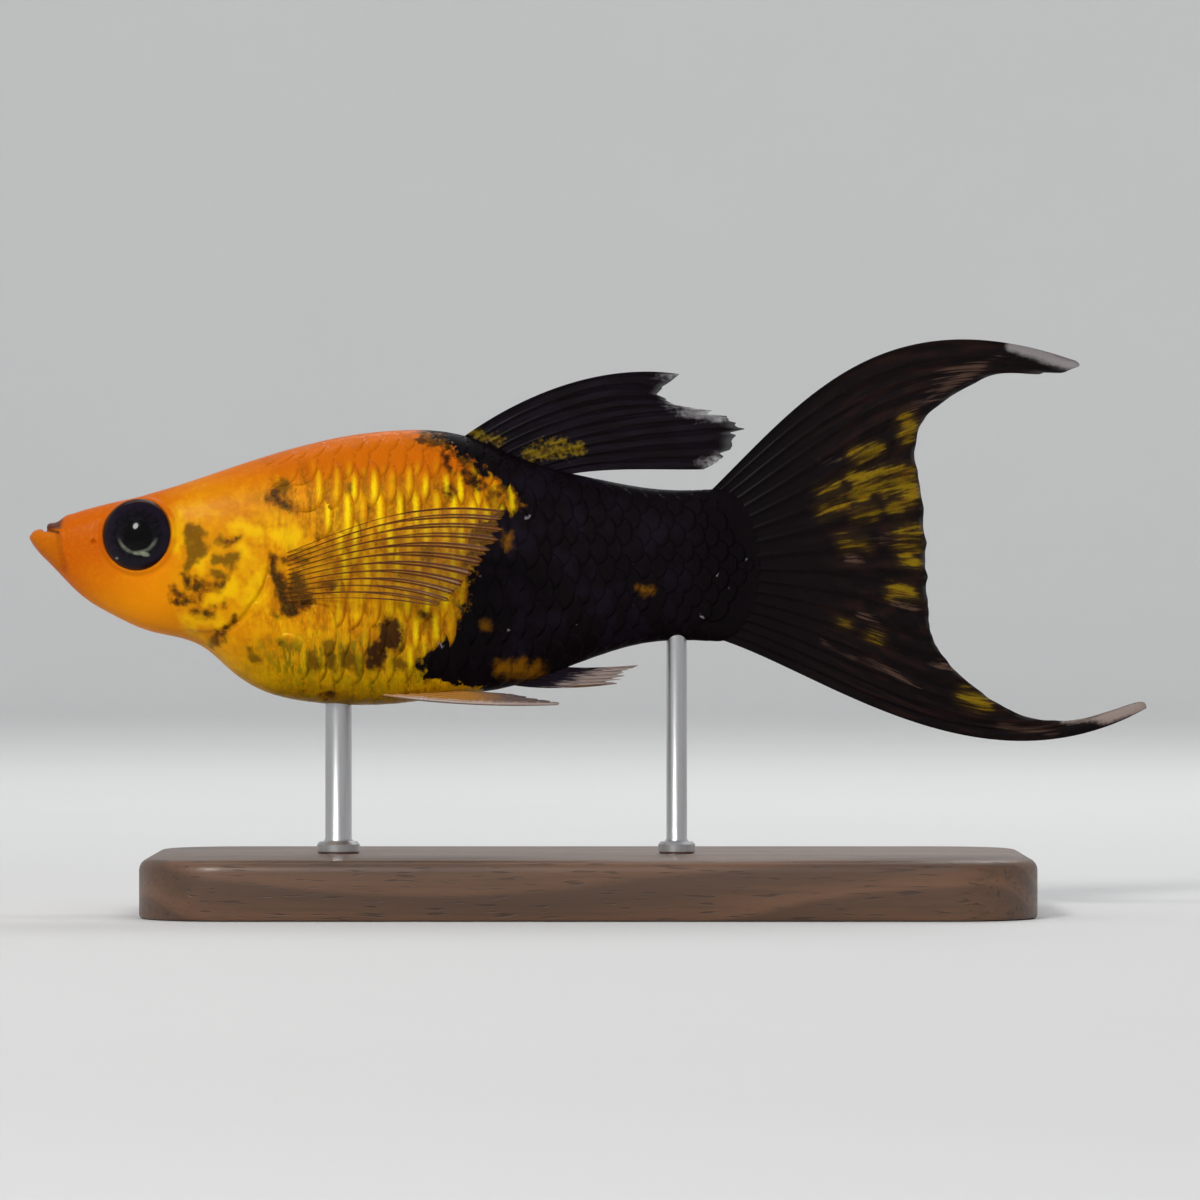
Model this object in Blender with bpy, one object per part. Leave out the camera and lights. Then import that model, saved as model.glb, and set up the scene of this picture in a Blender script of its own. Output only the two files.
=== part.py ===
"""Gold dust tuxedo molly: a still, life-size model of the whole fish on a plain display stand.

Metres, +Z up.  The fish is level and faces -X, so its left flank faces -Y.  The origin is the
middle of the underside of the stand's base.  Sizes below are in millimetres.  A place on the
fish is given by how far it lies behind the tip of the lower jaw and how high it lies above the
body's axis, in that order.
"""
import math

import bmesh
import bpy
import numpy as np
from mathutils import Vector

for old in list(bpy.data.objects):
    bpy.data.objects.remove(old, do_unlink=True)

# Driving sizes
MM = 0.001
TOTAL_LENGTH = 76.0
AXIS_HEIGHT = 23.6
TIP_X = -0.5 * TOTAL_LENGTH
GAP = 0.3

# Side view of the body: behind the jaw tip, height above the axis
BACK_LINE = [(0.0, 2.4), (1.0, 2.75), (2.4, 3.3), (5.1, 4.1), (8.2, 4.85), (11.6, 5.9), (15.0, 7.05),
             (18.4, 8.05), (21.8, 8.8), (25.2, 9.15), (27.9, 9.1), (30.6, 8.45), (33.3, 7.3),
             (35.7, 6.5), (38.8, 5.8), (42.2, 5.2), (45.6, 5.1), (48.4, 5.35)]
BELLY_LINE = [(0.0, 1.35), (0.7, 0.75), (2.2, -0.75), (3.4, -1.95), (5.4, -3.25), (8.2, -4.5),
              (10.9, -5.15), (12.2, -5.85), (13.6, -7.1), (16.0, -8.6), (18.4, -9.2), (22.8, -9.5),
              (25.8, -9.3), (28.6, -8.85), (32.0, -8.4), (35.0, -7.5), (37.7, -6.5), (41.5, -5.35),
              (44.9, -5.1), (48.4, -5.35)]
# Plan view: behind the jaw tip, half the body's width
HALF_WIDTH = [(0.0, 1.35), (1.0, 1.65), (2.4, 2.0), (5.1, 2.65), (7.5, 3.15), (10.2, 3.65), (13.3, 4.1),
              (16.3, 4.35), (19.7, 4.5), (23.1, 4.5), (26.5, 4.3), (30.6, 3.8), (34.7, 3.2),
              (38.8, 2.6), (42.8, 2.05), (46.0, 1.6), (48.4, 0.95)]
# Height of the widest point, and how square the section is above and below it
WIDEST_AT = [(0.0, 1.9), (2.2, 1.5), (5.0, 0.9), (8.0, 0.6), (14.0, 0.45), (18.0, -0.2), (23.0, -1.3),
             (28.0, -1.2), (35.0, -0.4), (42.0, 0.0), (48.4, 0.0)]
SQUARE_ABOVE = [(0.0, 2.2), (3.0, 2.7), (7.0, 3.2), (11.0, 3.0), (16.0, 2.5), (22.0, 2.1), (48.4, 2.0)]
SQUARE_BELOW = [(0.0, 2.0), (6.0, 2.1), (14.0, 2.2), (24.0, 2.4), (33.0, 2.2), (48.4, 2.0)]
SNOUT_ROUNDING = 0.9
BODY_END = 47.2
RING_STEP = 1.0
RING_POINTS = 36

# Where the body is parted
JAW_CUT = [(1.75, 6.0), (1.75, 2.3), (2.4, -0.4), (3.9, -4.2)]
HEAD_CUT = [(15.6, 12.0), (11.9, -3.0), (11.9, -12.0)]
TAIL_CUT = [(36.0, 12.0), (36.0, -12.0)]

# The mouth's notch in side view: over the lower lip, then up the front of the upper jaw
GAPE = [(-2.0, 2.55), (0.7, 2.55), (1.9, 2.25), (2.1, 3.0), (2.6, 3.7), (2.6, 8.0), (-2.0, 8.0)]
# Lips: radius, then how far behind the tip, to the side and above the axis
LIP_RADIUS = 0.34
LOWER_LIP_FRONT = (0.36, 0.0, 2.15)
LOWER_LIP_CORNER = (1.6, 1.72, 1.95)
UPPER_LIP_FRONT = (1.95, 0.0, 3.0)
UPPER_LIP_CORNER = (2.6, 1.98, 1.85)
NOSTRIL_AT = (4.5, 1.55)
NOSTRIL_RADIUS = 0.25

# Eyes
EYE_AT = (7.55, 2.04)
EYE_OFF_CENTRE = 2.8
EYE_RADIUS = 2.45
EYE_HALF_DEPTH = 1.05
EYE_FORWARD_TURN = math.radians(10.0)
EYE_UPWARD_TURN = math.radians(9.0)

# Gill covers
GILL_CENTRE = (13.0, -0.6)
GILL_EDGE = [(10.7, 3.0), (12.6, 3.6), (14.6, 3.4), (15.9, 2.4), (16.4, 0.8), (16.05, -1.3), (15.2, -2.65),
             (14.3, -3.7), (13.05, -4.35), (11.55, -4.4), (10.3, -3.9), (9.9, -2.4), (10.4, -0.35),
             (10.6, 1.35)]
GILL_PROUD = 0.22
GILL_DEPTH = 0.75

# Fins: half the thickness at root and margin, and how far a ray stands out of the membrane
FIN_HALF_THICK = 0.27
FIN_ROOT_HALF_THICK = 0.42
FIN_TIP_HALF_THICK = 0.1
RAY_RIDGE = 0.12

# Caudal fin: its upper, middle and lower ray, and its margin by share of the way down
CAUDAL_RAYS = [(0.0, [(47.5, 5.0), (52.4, 11.0), (57.8, 18.6), (71.4, 13.5)]),
               (0.5, [(47.5, 0.0), (52.6, 0.2), (56.8, 0.35), (61.1, 0.35)]),
               (1.0, [(47.5, -5.05), (53.0, -6.5), (64.3, -16.3), (76.0, -9.7)])]
CAUDAL_MARGIN = [(0.0, (71.2, 13.9)), (0.03, (71.45, 13.6)), (0.06, (70.8, 13.2)), (0.1, (68.8, 12.95)),
                 (0.15, (66.0, 12.95)), (0.2, (63.2, 11.7)),
                 (0.25, (61.2, 10.3)), (0.3, (60.4, 8.5)), (0.4, (60.8, 4.4)), (0.5, (61.1, 0.35)),
                 (0.6, (61.2, -3.4)), (0.7, (62.2, -6.2)), (0.78, (64.9, -8.7)), (0.85, (68.0, -10.3)),
                 (0.91, (71.2, -10.45)), (0.95, (73.7, -9.85)), (0.98, (75.7, -9.3)), (1.0, (76.0, -9.75))]
CAUDAL_RAY_COUNT = 18
CAUDAL_SPLIT_AFTER = (5, 11)
CAUDAL_SWAY = 0.9

DORSAL_RAYS = [(0.0, [(28.8, 8.2), (32.3, 10.9), (38.1, 13.9), (44.2, 13.0)]),
               (1.0, [(35.2, 5.8), (38.1, 6.75), (42.2, 6.45), (45.8, 6.5)])]
DORSAL_MARGIN = [(0.0, (44.2, 13.0)), (0.12, (43.2, 11.9)), (0.3, (44.6, 10.8)), (0.45, (46.6, 10.5)),
                 (0.6, (48.5, 9.7)), (0.72, (48.7, 8.9)), (0.85, (47.7, 7.6)), (1.0, (45.8, 6.5))]
DORSAL_RAY_COUNT = 10
DORSAL_SWAY = 0.5

ANAL_RAYS = [(0.0, [(31.6, -7.9), (33.6, -8.5), (36.8, -8.5), (39.9, -8.1)]),
             (1.0, [(35.4, -6.8), (37.2, -7.1), (39.2, -6.95), (41.4, -6.8)])]
ANAL_MARGIN = [(0.0, (39.9, -8.1)), (0.3, (40.2, -7.8)), (0.65, (40.7, -7.3)), (1.0, (41.4, -6.8))]
ANAL_RAY_COUNT = 7
ANAL_SWAY = 0.3

# Paired fins: drawn flat, then swung out about their roots
PECTORAL_RAYS = [(0.0, [(16.6, 0.4), (21.4, 2.2), (25.8, 4.6), (32.4, 3.6)]),
                 (1.0, [(16.6, -2.7), (20.2, -2.0), (24.5, -2.2), (27.7, -2.8)])]
PECTORAL_MARGIN = [(0.0, (32.4, 3.6)), (0.2, (32.3, 2.2)), (0.5, (30.8, -0.3)), (0.8, (28.9, -2.4)),
                   (1.0, (27.7, -2.8))]
PECTORAL_RAY_COUNT = 12
PECTORAL_ROOT = (17.6, 4.3)
PECTORAL_SWING = math.radians(20.0)
PECTORAL_CUP = 0.5

PELVIC_RAYS = [(0.0, [(23.0, 0.2), (27.0, 1.3), (31.6, 1.75), (36.0, 1.0)]),
               (1.0, [(25.2, -0.6), (27.5, -0.5), (30.0, -0.4), (32.4, -0.3)])]
PELVIC_MARGIN = [(0.0, (36.0, 1.0)), (0.35, (34.9, 0.5)), (0.7, (33.6, 0.0)), (1.0, (32.4, -0.3))]
PELVIC_RAY_COUNT = 6
PELVIC_ROOT = (23.4, 1.8, -8.6)
PELVIC_TILT = math.radians(24.0)
PELVIC_DROP = math.radians(-2.0)
FIN_ROWS = 10

# Stand
BASE_LENGTH = 60.0
BASE_WIDTH = 30.0
BASE_THICK = 4.0
BASE_CORNER = 6.0
BASE_EDGE = 0.6
FRONT_ROD_X = -17.0
FRONT_ROD_RADIUS = 0.9
REAR_ROD_X = 6.0
REAR_ROD_RADIUS = 0.7
ROD_FOOT_DEPTH = 2.0
ROD_HEAD_DEPTH = 1.8
ROD_SIDES = 20


class Curve:
    """A smooth curve through a few stations, as a natural cubic spline."""

    def __init__(self, stations):
        self.at = np.array([float(station[0]) for station in stations])
        self.value = np.array([np.atleast_1d(station[1]).astype(float) for station in stations])
        count = len(stations)
        step = np.diff(self.at)
        matrix = np.eye(count)
        right = np.zeros_like(self.value)
        for i in range(1, count - 1):
            matrix[i, i - 1] = step[i - 1]
            matrix[i, i] = 2.0 * (step[i - 1] + step[i])
            matrix[i, i + 1] = step[i]
            after = (self.value[i + 1] - self.value[i]) / step[i]
            before = (self.value[i] - self.value[i - 1]) / step[i - 1]
            right[i] = 6.0 * (after - before)
        self.bend = np.linalg.solve(matrix, right)

    def __call__(self, at):
        i = int(np.clip(np.searchsorted(self.at, at) - 1, 0, len(self.at) - 2))
        width = self.at[i + 1] - self.at[i]
        a = (self.at[i + 1] - at) / width
        b = (at - self.at[i]) / width
        bend = (a ** 3 - a) * self.bend[i] + (b ** 3 - b) * self.bend[i + 1]
        value = a * self.value[i] + b * self.value[i + 1] + bend * width ** 2 / 6.0
        return float(value[0]) if len(value) == 1 else value


back_line = Curve(BACK_LINE)
belly_line = Curve(BELLY_LINE)
half_width = Curve(HALF_WIDTH)
widest_at = Curve(WIDEST_AT)
square_above = Curve(SQUARE_ABOVE)
square_below = Curve(SQUARE_BELOW)


# The body's surface
def snout(behind):
    """How full the body is near the tip of the jaw, from 0 to 1."""
    short = 1.0 - min(behind, SNOUT_ROUNDING) / SNOUT_ROUNDING
    return math.sqrt(max(1.0 - short * short, 0.0))


def section(behind, turn):
    """Side and height of the skin at an angle round the section, 0 at the left, 90 at the top."""
    middle = widest_at(behind)
    sine = math.sin(turn)
    if sine >= 0.0:
        height = back_line(behind) - middle
        power = 2.0 / square_above(behind)
    else:
        height = middle - belly_line(behind)
        power = 2.0 / square_below(behind)
    cosine = math.cos(turn)
    side = -half_width(behind) * math.copysign(abs(cosine) ** power, cosine)
    rise = height * math.copysign(abs(sine) ** power, sine)
    return side * snout(behind), middle + rise * snout(behind)


def turn_at(behind, above):
    """The angle round the section of a height above the axis, on the left side."""
    middle = widest_at(behind)
    if above >= middle:
        share = (above - middle) / (back_line(behind) - middle)
        return math.asin(min(share, 1.0) ** (square_above(behind) / 2.0))
    share = (middle - above) / (middle - belly_line(behind))
    return -math.asin(min(share, 1.0) ** (square_below(behind) / 2.0))


def skin_point(behind, turn, lift=0.0):
    """A point on the skin, or lifted off it along its normal."""
    side, above = section(behind, turn)
    point = np.array([behind, side, above])
    if lift == 0.0:
        return point
    small = 0.02
    ahead = np.array([behind + small, *section(behind + small, turn)])
    aback = np.array([max(behind - small, 0.0), *section(max(behind - small, 0.0), turn)])
    up = np.array([behind, *section(behind, turn + small)])
    down = np.array([behind, *section(behind, turn - small)])
    normal = np.cross(up - down, ahead - aback)
    normal = normal / np.linalg.norm(normal)
    inner = np.array([behind, 0.0, widest_at(behind)])
    if np.dot(normal, point - inner) < 0.0:
        normal = -normal
    return point + normal * lift


# Mesh helpers
def place(point):
    """World place, in metres, of a point given behind the tip, to the side and above the axis."""
    return Vector(((TIP_X + point[0]) * MM, point[1] * MM, (AXIS_HEIGHT + point[2]) * MM))


def add_object(name, points, faces):
    mesh = bpy.data.meshes.new(name)
    mesh.from_pydata([place(point) for point in points], [], faces)
    shape = bmesh.new()
    shape.from_mesh(mesh)
    bmesh.ops.recalc_face_normals(shape, faces=shape.faces)
    shape.to_mesh(mesh)
    shape.free()
    thing = bpy.data.objects.new(name, mesh)
    bpy.context.scene.collection.objects.link(thing)
    return thing


def tube_of_rings(name, rings):
    """A closed solid through rings of equally many points, with flat ends."""
    count = len(rings[0])
    points = [point for ring in rings for point in ring]
    faces = [list(range(count))[::-1]]
    for row in range(len(rings) - 1):
        for i in range(count):
            j = (i + 1) % count
            faces.append([row * count + i, row * count + j, (row + 1) * count + j, (row + 1) * count + i])
    last = (len(rings) - 1) * count
    faces.append([last + i for i in range(count)])
    return add_object(name, points, faces)


def body_loft(name, end, lift=0.0):
    """The whole body from the jaw tip to a station near the tail, as one closed solid."""
    stations = [SNOUT_ROUNDING * (1.0 - math.cos(math.radians(angle))) for angle in (14, 34, 54, 74)]
    steps = max(int((end - SNOUT_ROUNDING) / RING_STEP), 1)
    stations += [SNOUT_ROUNDING + (end - SNOUT_ROUNDING) * i / steps for i in range(steps + 1)]
    turns = [2.0 * math.pi * i / RING_POINTS for i in range(RING_POINTS)]
    return tube_of_rings(name, [[skin_point(s, turn, lift) for turn in turns] for s in stations])


def prism(name, outline, half_span=20.0):
    """A side-view outline carried right through the body from side to side."""
    points = [(x, -half_span, z) for x, z in outline] + [(x, half_span, z) for x, z in outline]
    count = len(outline)
    faces = [list(range(count)), list(range(count, 2 * count))[::-1]]
    faces += [[i, i + count, (i + 1) % count + count, (i + 1) % count] for i in range(count)]
    return add_object(name, points, faces)


def ellipsoid(name, centre, radii, axis_turn=None, rings=10, spokes=22):
    mesh = bpy.data.meshes.new(name)
    shape = bmesh.new()
    bmesh.ops.create_uvsphere(shape, u_segments=spokes, v_segments=rings, radius=1.0)
    bmesh.ops.scale(shape, vec=Vector(radii) * MM, verts=shape.verts)
    if axis_turn is not None:
        bmesh.ops.transform(shape, matrix=axis_turn, verts=shape.verts)
    bmesh.ops.translate(shape, vec=place(centre), verts=shape.verts)
    shape.to_mesh(mesh)
    shape.free()
    thing = bpy.data.objects.new(name, mesh)
    bpy.context.scene.collection.objects.link(thing)
    return thing


def cylinder(name, centre_x, low, high, radius, sides=ROD_SIDES):
    """An upright rod; its ends are heights above the underside of the base."""
    ring = [(radius * math.cos(2.0 * math.pi * i / sides), radius * math.sin(2.0 * math.pi * i / sides))
            for i in range(sides)]
    rows = [[(centre_x - TIP_X + x, y, z - AXIS_HEIGHT) for x, y in ring] for z in (low, high)]
    return tube_of_rings(name, rows)


def combine(thing, tool, operation, keep_tool=False):
    """Apply one Boolean to an object's mesh and keep its largest closed surface."""
    modifier = thing.modifiers.new("cut", "BOOLEAN")
    modifier.operation = operation
    modifier.solver = "EXACT"
    modifier.object = tool
    depsgraph = bpy.context.evaluated_depsgraph_get()
    result = bpy.data.meshes.new_from_object(thing.evaluated_get(depsgraph), depsgraph=depsgraph)
    thing.modifiers.remove(modifier)
    result.name = thing.name
    thing.data = result
    keep_largest(thing)
    if not keep_tool:
        bpy.data.objects.remove(tool, do_unlink=True)


def keep_largest(thing):
    shape = bmesh.new()
    shape.from_mesh(thing.data)
    left = set(shape.faces)
    islands = []
    while left:
        stack = [left.pop()]
        island = list(stack)
        while stack:
            face = stack.pop()
            for edge in face.edges:
                for other in edge.link_faces:
                    if other in left:
                        left.remove(other)
                        island.append(other)
                        stack.append(other)
        islands.append(island)
    islands.sort(key=lambda island: sum(face.calc_area() for face in island))
    scraps = [face for island in islands[:-1] for face in island]
    if scraps:
        bmesh.ops.delete(shape, geom=scraps, context="FACES")
    shape.to_mesh(thing.data)
    shape.free()


def copy_of(thing, name):
    twin = bpy.data.objects.new(name, thing.data.copy())
    bpy.context.scene.collection.objects.link(twin)
    return twin


# Fins
def bezier(controls, share):
    """A point of a cubic curve."""
    a, b, c, d = [np.array(point) for point in controls]
    rest = 1.0 - share
    return rest ** 3 * a + 3.0 * rest ** 2 * share * b + 3.0 * rest * share ** 2 * c + share ** 3 * d


class Fan:
    """The flat drawing of a fin: rays spread between a few leading ones, out to a margin."""

    def __init__(self, rays, margin):
        self.rays = rays
        self.margin = Curve(margin)

    def point(self, across, out):
        low = max(i for i in range(len(self.rays) - 1) if self.rays[i][0] <= across or i == 0)
        start, first = self.rays[low]
        end, second = self.rays[low + 1]
        share = (across - start) / (end - start)
        controls = [np.array(a) * (1.0 - share) + np.array(b) * share for a, b in zip(first, second)]
        controls[3] = self.margin(across)
        return bezier(controls, out)

    def edge_point(self, across, out, side):
        """A point half a gap to one side of a line that parts the fin."""
        along = self.point(across, min(out + 0.01, 1.0)) - self.point(across, max(out - 0.01, 0.0))
        along = along / np.linalg.norm(along)
        return self.point(across, out) + side * 0.5 * GAP * np.array([-along[1], along[0]])


def fin_columns(fan, ray_count, first_ray, last_ray):
    """The lines from root to margin that a fin's mesh follows: a crest on each ray, a valley between."""
    columns = []
    gaps = ray_count - 1
    if first_ray > 0:
        columns.append(((first_ray - 0.5) / gaps, -1, False))
    for ray in range(first_ray, last_ray + 1):
        columns.append((ray / gaps, 0, True))
        if ray < last_ray:
            columns.append(((ray + 0.5) / gaps, 0, False))
    if last_ray < gaps:
        columns.append(((last_ray + 0.5) / gaps, 1, False))
    return columns


def fin(name, fan, ray_count, stand_out, first_ray=0, last_ray=None):
    """A closed thin solid; both faces share one grid, split into triangles alike."""
    last_ray = ray_count - 1 if last_ray is None else last_ray
    columns = fin_columns(fan, ray_count, first_ray, last_ray)
    near, far = [], []
    for across, side, crest in columns:
        for row in range(FIN_ROWS + 1):
            out = row / FIN_ROWS
            flat = fan.edge_point(across, out, side) if side else fan.point(across, out)
            body = FIN_ROOT_HALF_THICK + (FIN_HALF_THICK - FIN_ROOT_HALF_THICK) * min(out * 3.0, 1.0)
            ridge = RAY_RIDGE if crest else 0.0
            thick = FIN_TIP_HALF_THICK if row == FIN_ROWS else body + ridge
            near.append(stand_out(flat, out, -thick))
            far.append(stand_out(flat, out, thick))
    rows = FIN_ROWS + 1
    shift = len(near)
    faces = []
    for column in range(len(columns) - 1):
        for row in range(FIN_ROWS):
            a = column * rows + row
            b = a + rows
            faces += [[a, a + 1, b + 1], [a, b + 1, b]]
            faces += [[a + shift, b + 1 + shift, a + 1 + shift], [a + shift, b + shift, b + 1 + shift]]
        for a in (column * rows, column * rows + FIN_ROWS):
            b = a + rows
            faces.append([a, b, b + shift, a + shift])
    for row in range(FIN_ROWS):
        for a in (row, (len(columns) - 1) * rows + row):
            faces.append([a, a + 1, a + 1 + shift, a + shift])
    return add_object(name, near + far, faces)


def upright(sway, root_at, tip_at):
    """Stands a flat drawing upright in the middle plane, with a slight sideways sweep."""
    def stand_out(flat, out, thick):
        share = (flat[0] - root_at) / (tip_at - root_at)
        wave = sway * math.sin(2.2 * max(share, 0.0)) * max(share, 0.0)
        return (flat[0], thick + wave, flat[1])
    return stand_out


def swung(side):
    """Swings a pectoral fin out from the flank about the line of its root."""
    def stand_out(flat, out, thick):
        reach = flat[0] - PECTORAL_ROOT[0]
        cup = PECTORAL_CUP * out * out
        away = PECTORAL_ROOT[1] + reach * math.tan(PECTORAL_SWING) + thick / math.cos(PECTORAL_SWING) - cup
        return (flat[0], side * away, flat[1])
    return stand_out


def laid_back(side):
    """Lays a pelvic fin back along the belly, its plane tilted outwards."""
    def stand_out(flat, out, thick):
        along = flat[0] - PELVIC_ROOT[0]
        away = PELVIC_ROOT[1] + flat[1] * math.cos(PELVIC_TILT) + thick * math.sin(PELVIC_TILT)
        above = PELVIC_ROOT[2] - flat[1] * math.sin(PELVIC_TILT) + thick * math.cos(PELVIC_TILT)
        return (flat[0], side * away, above + along * math.tan(PELVIC_DROP))
    return stand_out


# Colours by finish: base colour, roughness, metallic
FINISHES = {
    "orange_skin": ((0.62, 0.20, 0.01), 0.38, 0.0),
    "gold_skin": ((0.72, 0.36, 0.02), 0.32, 0.15),
    "black_skin": ((0.02, 0.016, 0.02), 0.36, 0.0),
    "dark_fin": ((0.03, 0.02, 0.02), 0.45, 0.0),
    "clear_fin": ((0.35, 0.22, 0.08), 0.45, 0.0),
    "pale_fin": ((0.6, 0.45, 0.36), 0.45, 0.0),
    "eye_dark": ((0.01, 0.008, 0.01), 0.06, 0.0),
    "rod_steel": ((0.6, 0.6, 0.6), 0.3, 1.0),
    "base_wood": ((0.09, 0.045, 0.02), 0.45, 0.0),
}


def finish(thing, finish_name):
    """Give an object a material of its own and smooth shading between its sharp edges."""
    colour, roughness, metallic = FINISHES[finish_name]
    material = bpy.data.materials.new(thing.name)
    material.use_nodes = True
    shader = material.node_tree.nodes["Principled BSDF"]
    shader.inputs["Base Color"].default_value = (*colour, 1.0)
    shader.inputs["Roughness"].default_value = roughness
    shader.inputs["Metallic"].default_value = metallic
    thing.data.materials.clear()
    thing.data.materials.append(material)
    thing.data.shade_smooth()
    thing.data.set_sharp_from_angle(angle=math.radians(40.0))


# Body pieces
def half_plane(name, line, direction, shift, reach=90.0):
    """Everything to the front (-1) or the rear (+1) of a cutting line, shifted along the body."""
    outline = [(x + shift, z) for x, z in line]
    outline += [(direction * reach, line[-1][1]), (direction * reach, line[0][1])]
    return prism(name, outline)


def lip(name, front, corner, sides=10, steps=12):
    """A rounded lip bent round the front of a jaw from one corner to the other."""
    rings = []
    for step in range(steps + 1):
        angle = math.pi * step / steps
        side = math.cos(angle)
        ahead = math.sin(angle)
        centre = np.array([corner[0] + (front[0] - corner[0]) * ahead, -corner[1] * side,
                           corner[2] + (front[2] - corner[2]) * ahead])
        outward = np.array([-ahead, -side, 0.0])
        radius = LIP_RADIUS * (0.35 + 0.65 * math.sqrt(ahead))
        ring = []
        for i in range(sides):
            turn = 2.0 * math.pi * i / sides
            ring.append(centre + radius * (math.cos(turn) * outward + math.sin(turn) * np.array([0, 0, 1.0])))
        rings.append(ring)
    return tube_of_rings(name, rings)


def gill_cover(name, side, grow=0.0):
    """A plate of the gill cover's outline that follows the skin; grown, it is the recess for it."""
    spokes = 30
    edge = Curve([(i, point) for i, point in enumerate(GILL_EDGE + GILL_EDGE[:1])])
    centre_turn = turn_at(*GILL_CENTRE)
    outline = []
    for i in range(spokes):
        point = np.array(edge(i * len(GILL_EDGE) / spokes))
        away = point - np.array(GILL_CENTRE)
        point = point + away / np.linalg.norm(away) * grow
        outline.append((point[0], turn_at(point[0], point[1])))
    shares = (0.3, 0.62, 0.9, 1.0)
    proud = (GILL_PROUD, GILL_PROUD, GILL_PROUD, 0.0) if grow == 0.0 else (0.6, 0.6, 0.6, 0.6)
    deep = GILL_DEPTH + grow

    def grid_point(share, i, lift):
        behind = GILL_CENTRE[0] * (1.0 - share) + outline[i][0] * share
        turn = centre_turn * (1.0 - share) + outline[i][1] * share
        point = skin_point(behind, turn, lift)
        return (point[0], point[1] * -side, point[2])

    middle = skin_point(GILL_CENTRE[0], centre_turn, proud[0])
    inner = skin_point(GILL_CENTRE[0], centre_turn, -deep)
    points = [(middle[0], middle[1] * -side, middle[2])]
    for share, lift in zip(shares, proud):
        points += [grid_point(share, i, lift) for i in range(spokes)]
    for share in reversed(shares):
        points += [grid_point(share, i, -deep) for i in range(spokes)]
    points.append((inner[0], inner[1] * -side, inner[2]))
    faces = []
    rows = 2 * len(shares)
    for i in range(spokes):
        j = (i + 1) % spokes
        faces.append([0, 1 + i, 1 + j])
        for row in range(rows - 1):
            a = 1 + row * spokes
            faces.append([a + i, a + spokes + i, a + spokes + j, a + j])
        a = 1 + (rows - 1) * spokes
        faces.append([a + i, len(points) - 1, a + j])
    return add_object(name, points, faces)


def eye_shape(name, side, grow=0.0):
    axis = Vector((-math.sin(EYE_FORWARD_TURN), side * math.cos(EYE_FORWARD_TURN), math.sin(EYE_UPWARD_TURN)))
    turn = axis.to_track_quat("Z", "X").to_matrix().to_4x4()
    radii = (EYE_RADIUS + grow, EYE_RADIUS + grow, EYE_HALF_DEPTH + grow)
    return ellipsoid(name, (EYE_AT[0], side * EYE_OFF_CENTRE, EYE_AT[1]), radii, turn)


def nostril(name, side):
    turn = turn_at(*NOSTRIL_AT)
    point = skin_point(NOSTRIL_AT[0], turn)
    radii = (NOSTRIL_RADIUS * 1.4, NOSTRIL_RADIUS, NOSTRIL_RADIUS)
    return ellipsoid(name, (point[0], -side * point[1], point[2]), radii, None, 8, 12)


def build_body():
    whole = body_loft("whole_body", BODY_END)
    jaw = copy_of(whole, "lower_jaw")
    head = copy_of(whole, "head")
    trunk = copy_of(whole, "trunk")
    stalk = copy_of(whole, "tail_stalk")
    bpy.data.objects.remove(whole, do_unlink=True)
    combine(jaw, half_plane("front_of_mouth", JAW_CUT, -1, 0.0), "INTERSECT")
    combine(head, half_plane("behind_mouth", JAW_CUT, 1, GAP), "INTERSECT")
    combine(head, half_plane("front_of_nape", HEAD_CUT, -1, -0.5 * GAP), "INTERSECT")
    combine(trunk, half_plane("behind_nape", HEAD_CUT, 1, 0.5 * GAP), "INTERSECT")
    combine(trunk, half_plane("front_of_stalk", TAIL_CUT, -1, -0.5 * GAP), "INTERSECT")
    combine(stalk, half_plane("behind_trunk", TAIL_CUT, 1, 0.5 * GAP), "INTERSECT")
    combine(jaw, prism("gape", GAPE), "DIFFERENCE")
    combine(head, prism("gape", GAPE), "DIFFERENCE")
    combine(jaw, lip("lower_lip", LOWER_LIP_FRONT, LOWER_LIP_CORNER), "UNION")
    combine(head, lip("upper_lip", UPPER_LIP_FRONT, UPPER_LIP_CORNER), "UNION")
    for side, side_name in ((-1, "left"), (1, "right")):
        for flesh in (head, trunk):
            combine(flesh, gill_cover("gill_recess", side, GAP), "DIFFERENCE")
        combine(head, eye_shape("eye_socket", side, GAP), "DIFFERENCE")
        combine(head, nostril("nostril", side), "DIFFERENCE")
        finish(gill_cover("gill_cover_" + side_name, side), "gold_skin")
        finish(eye_shape("eye_" + side_name, side), "eye_dark")
    return jaw, head, trunk, stalk


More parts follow.
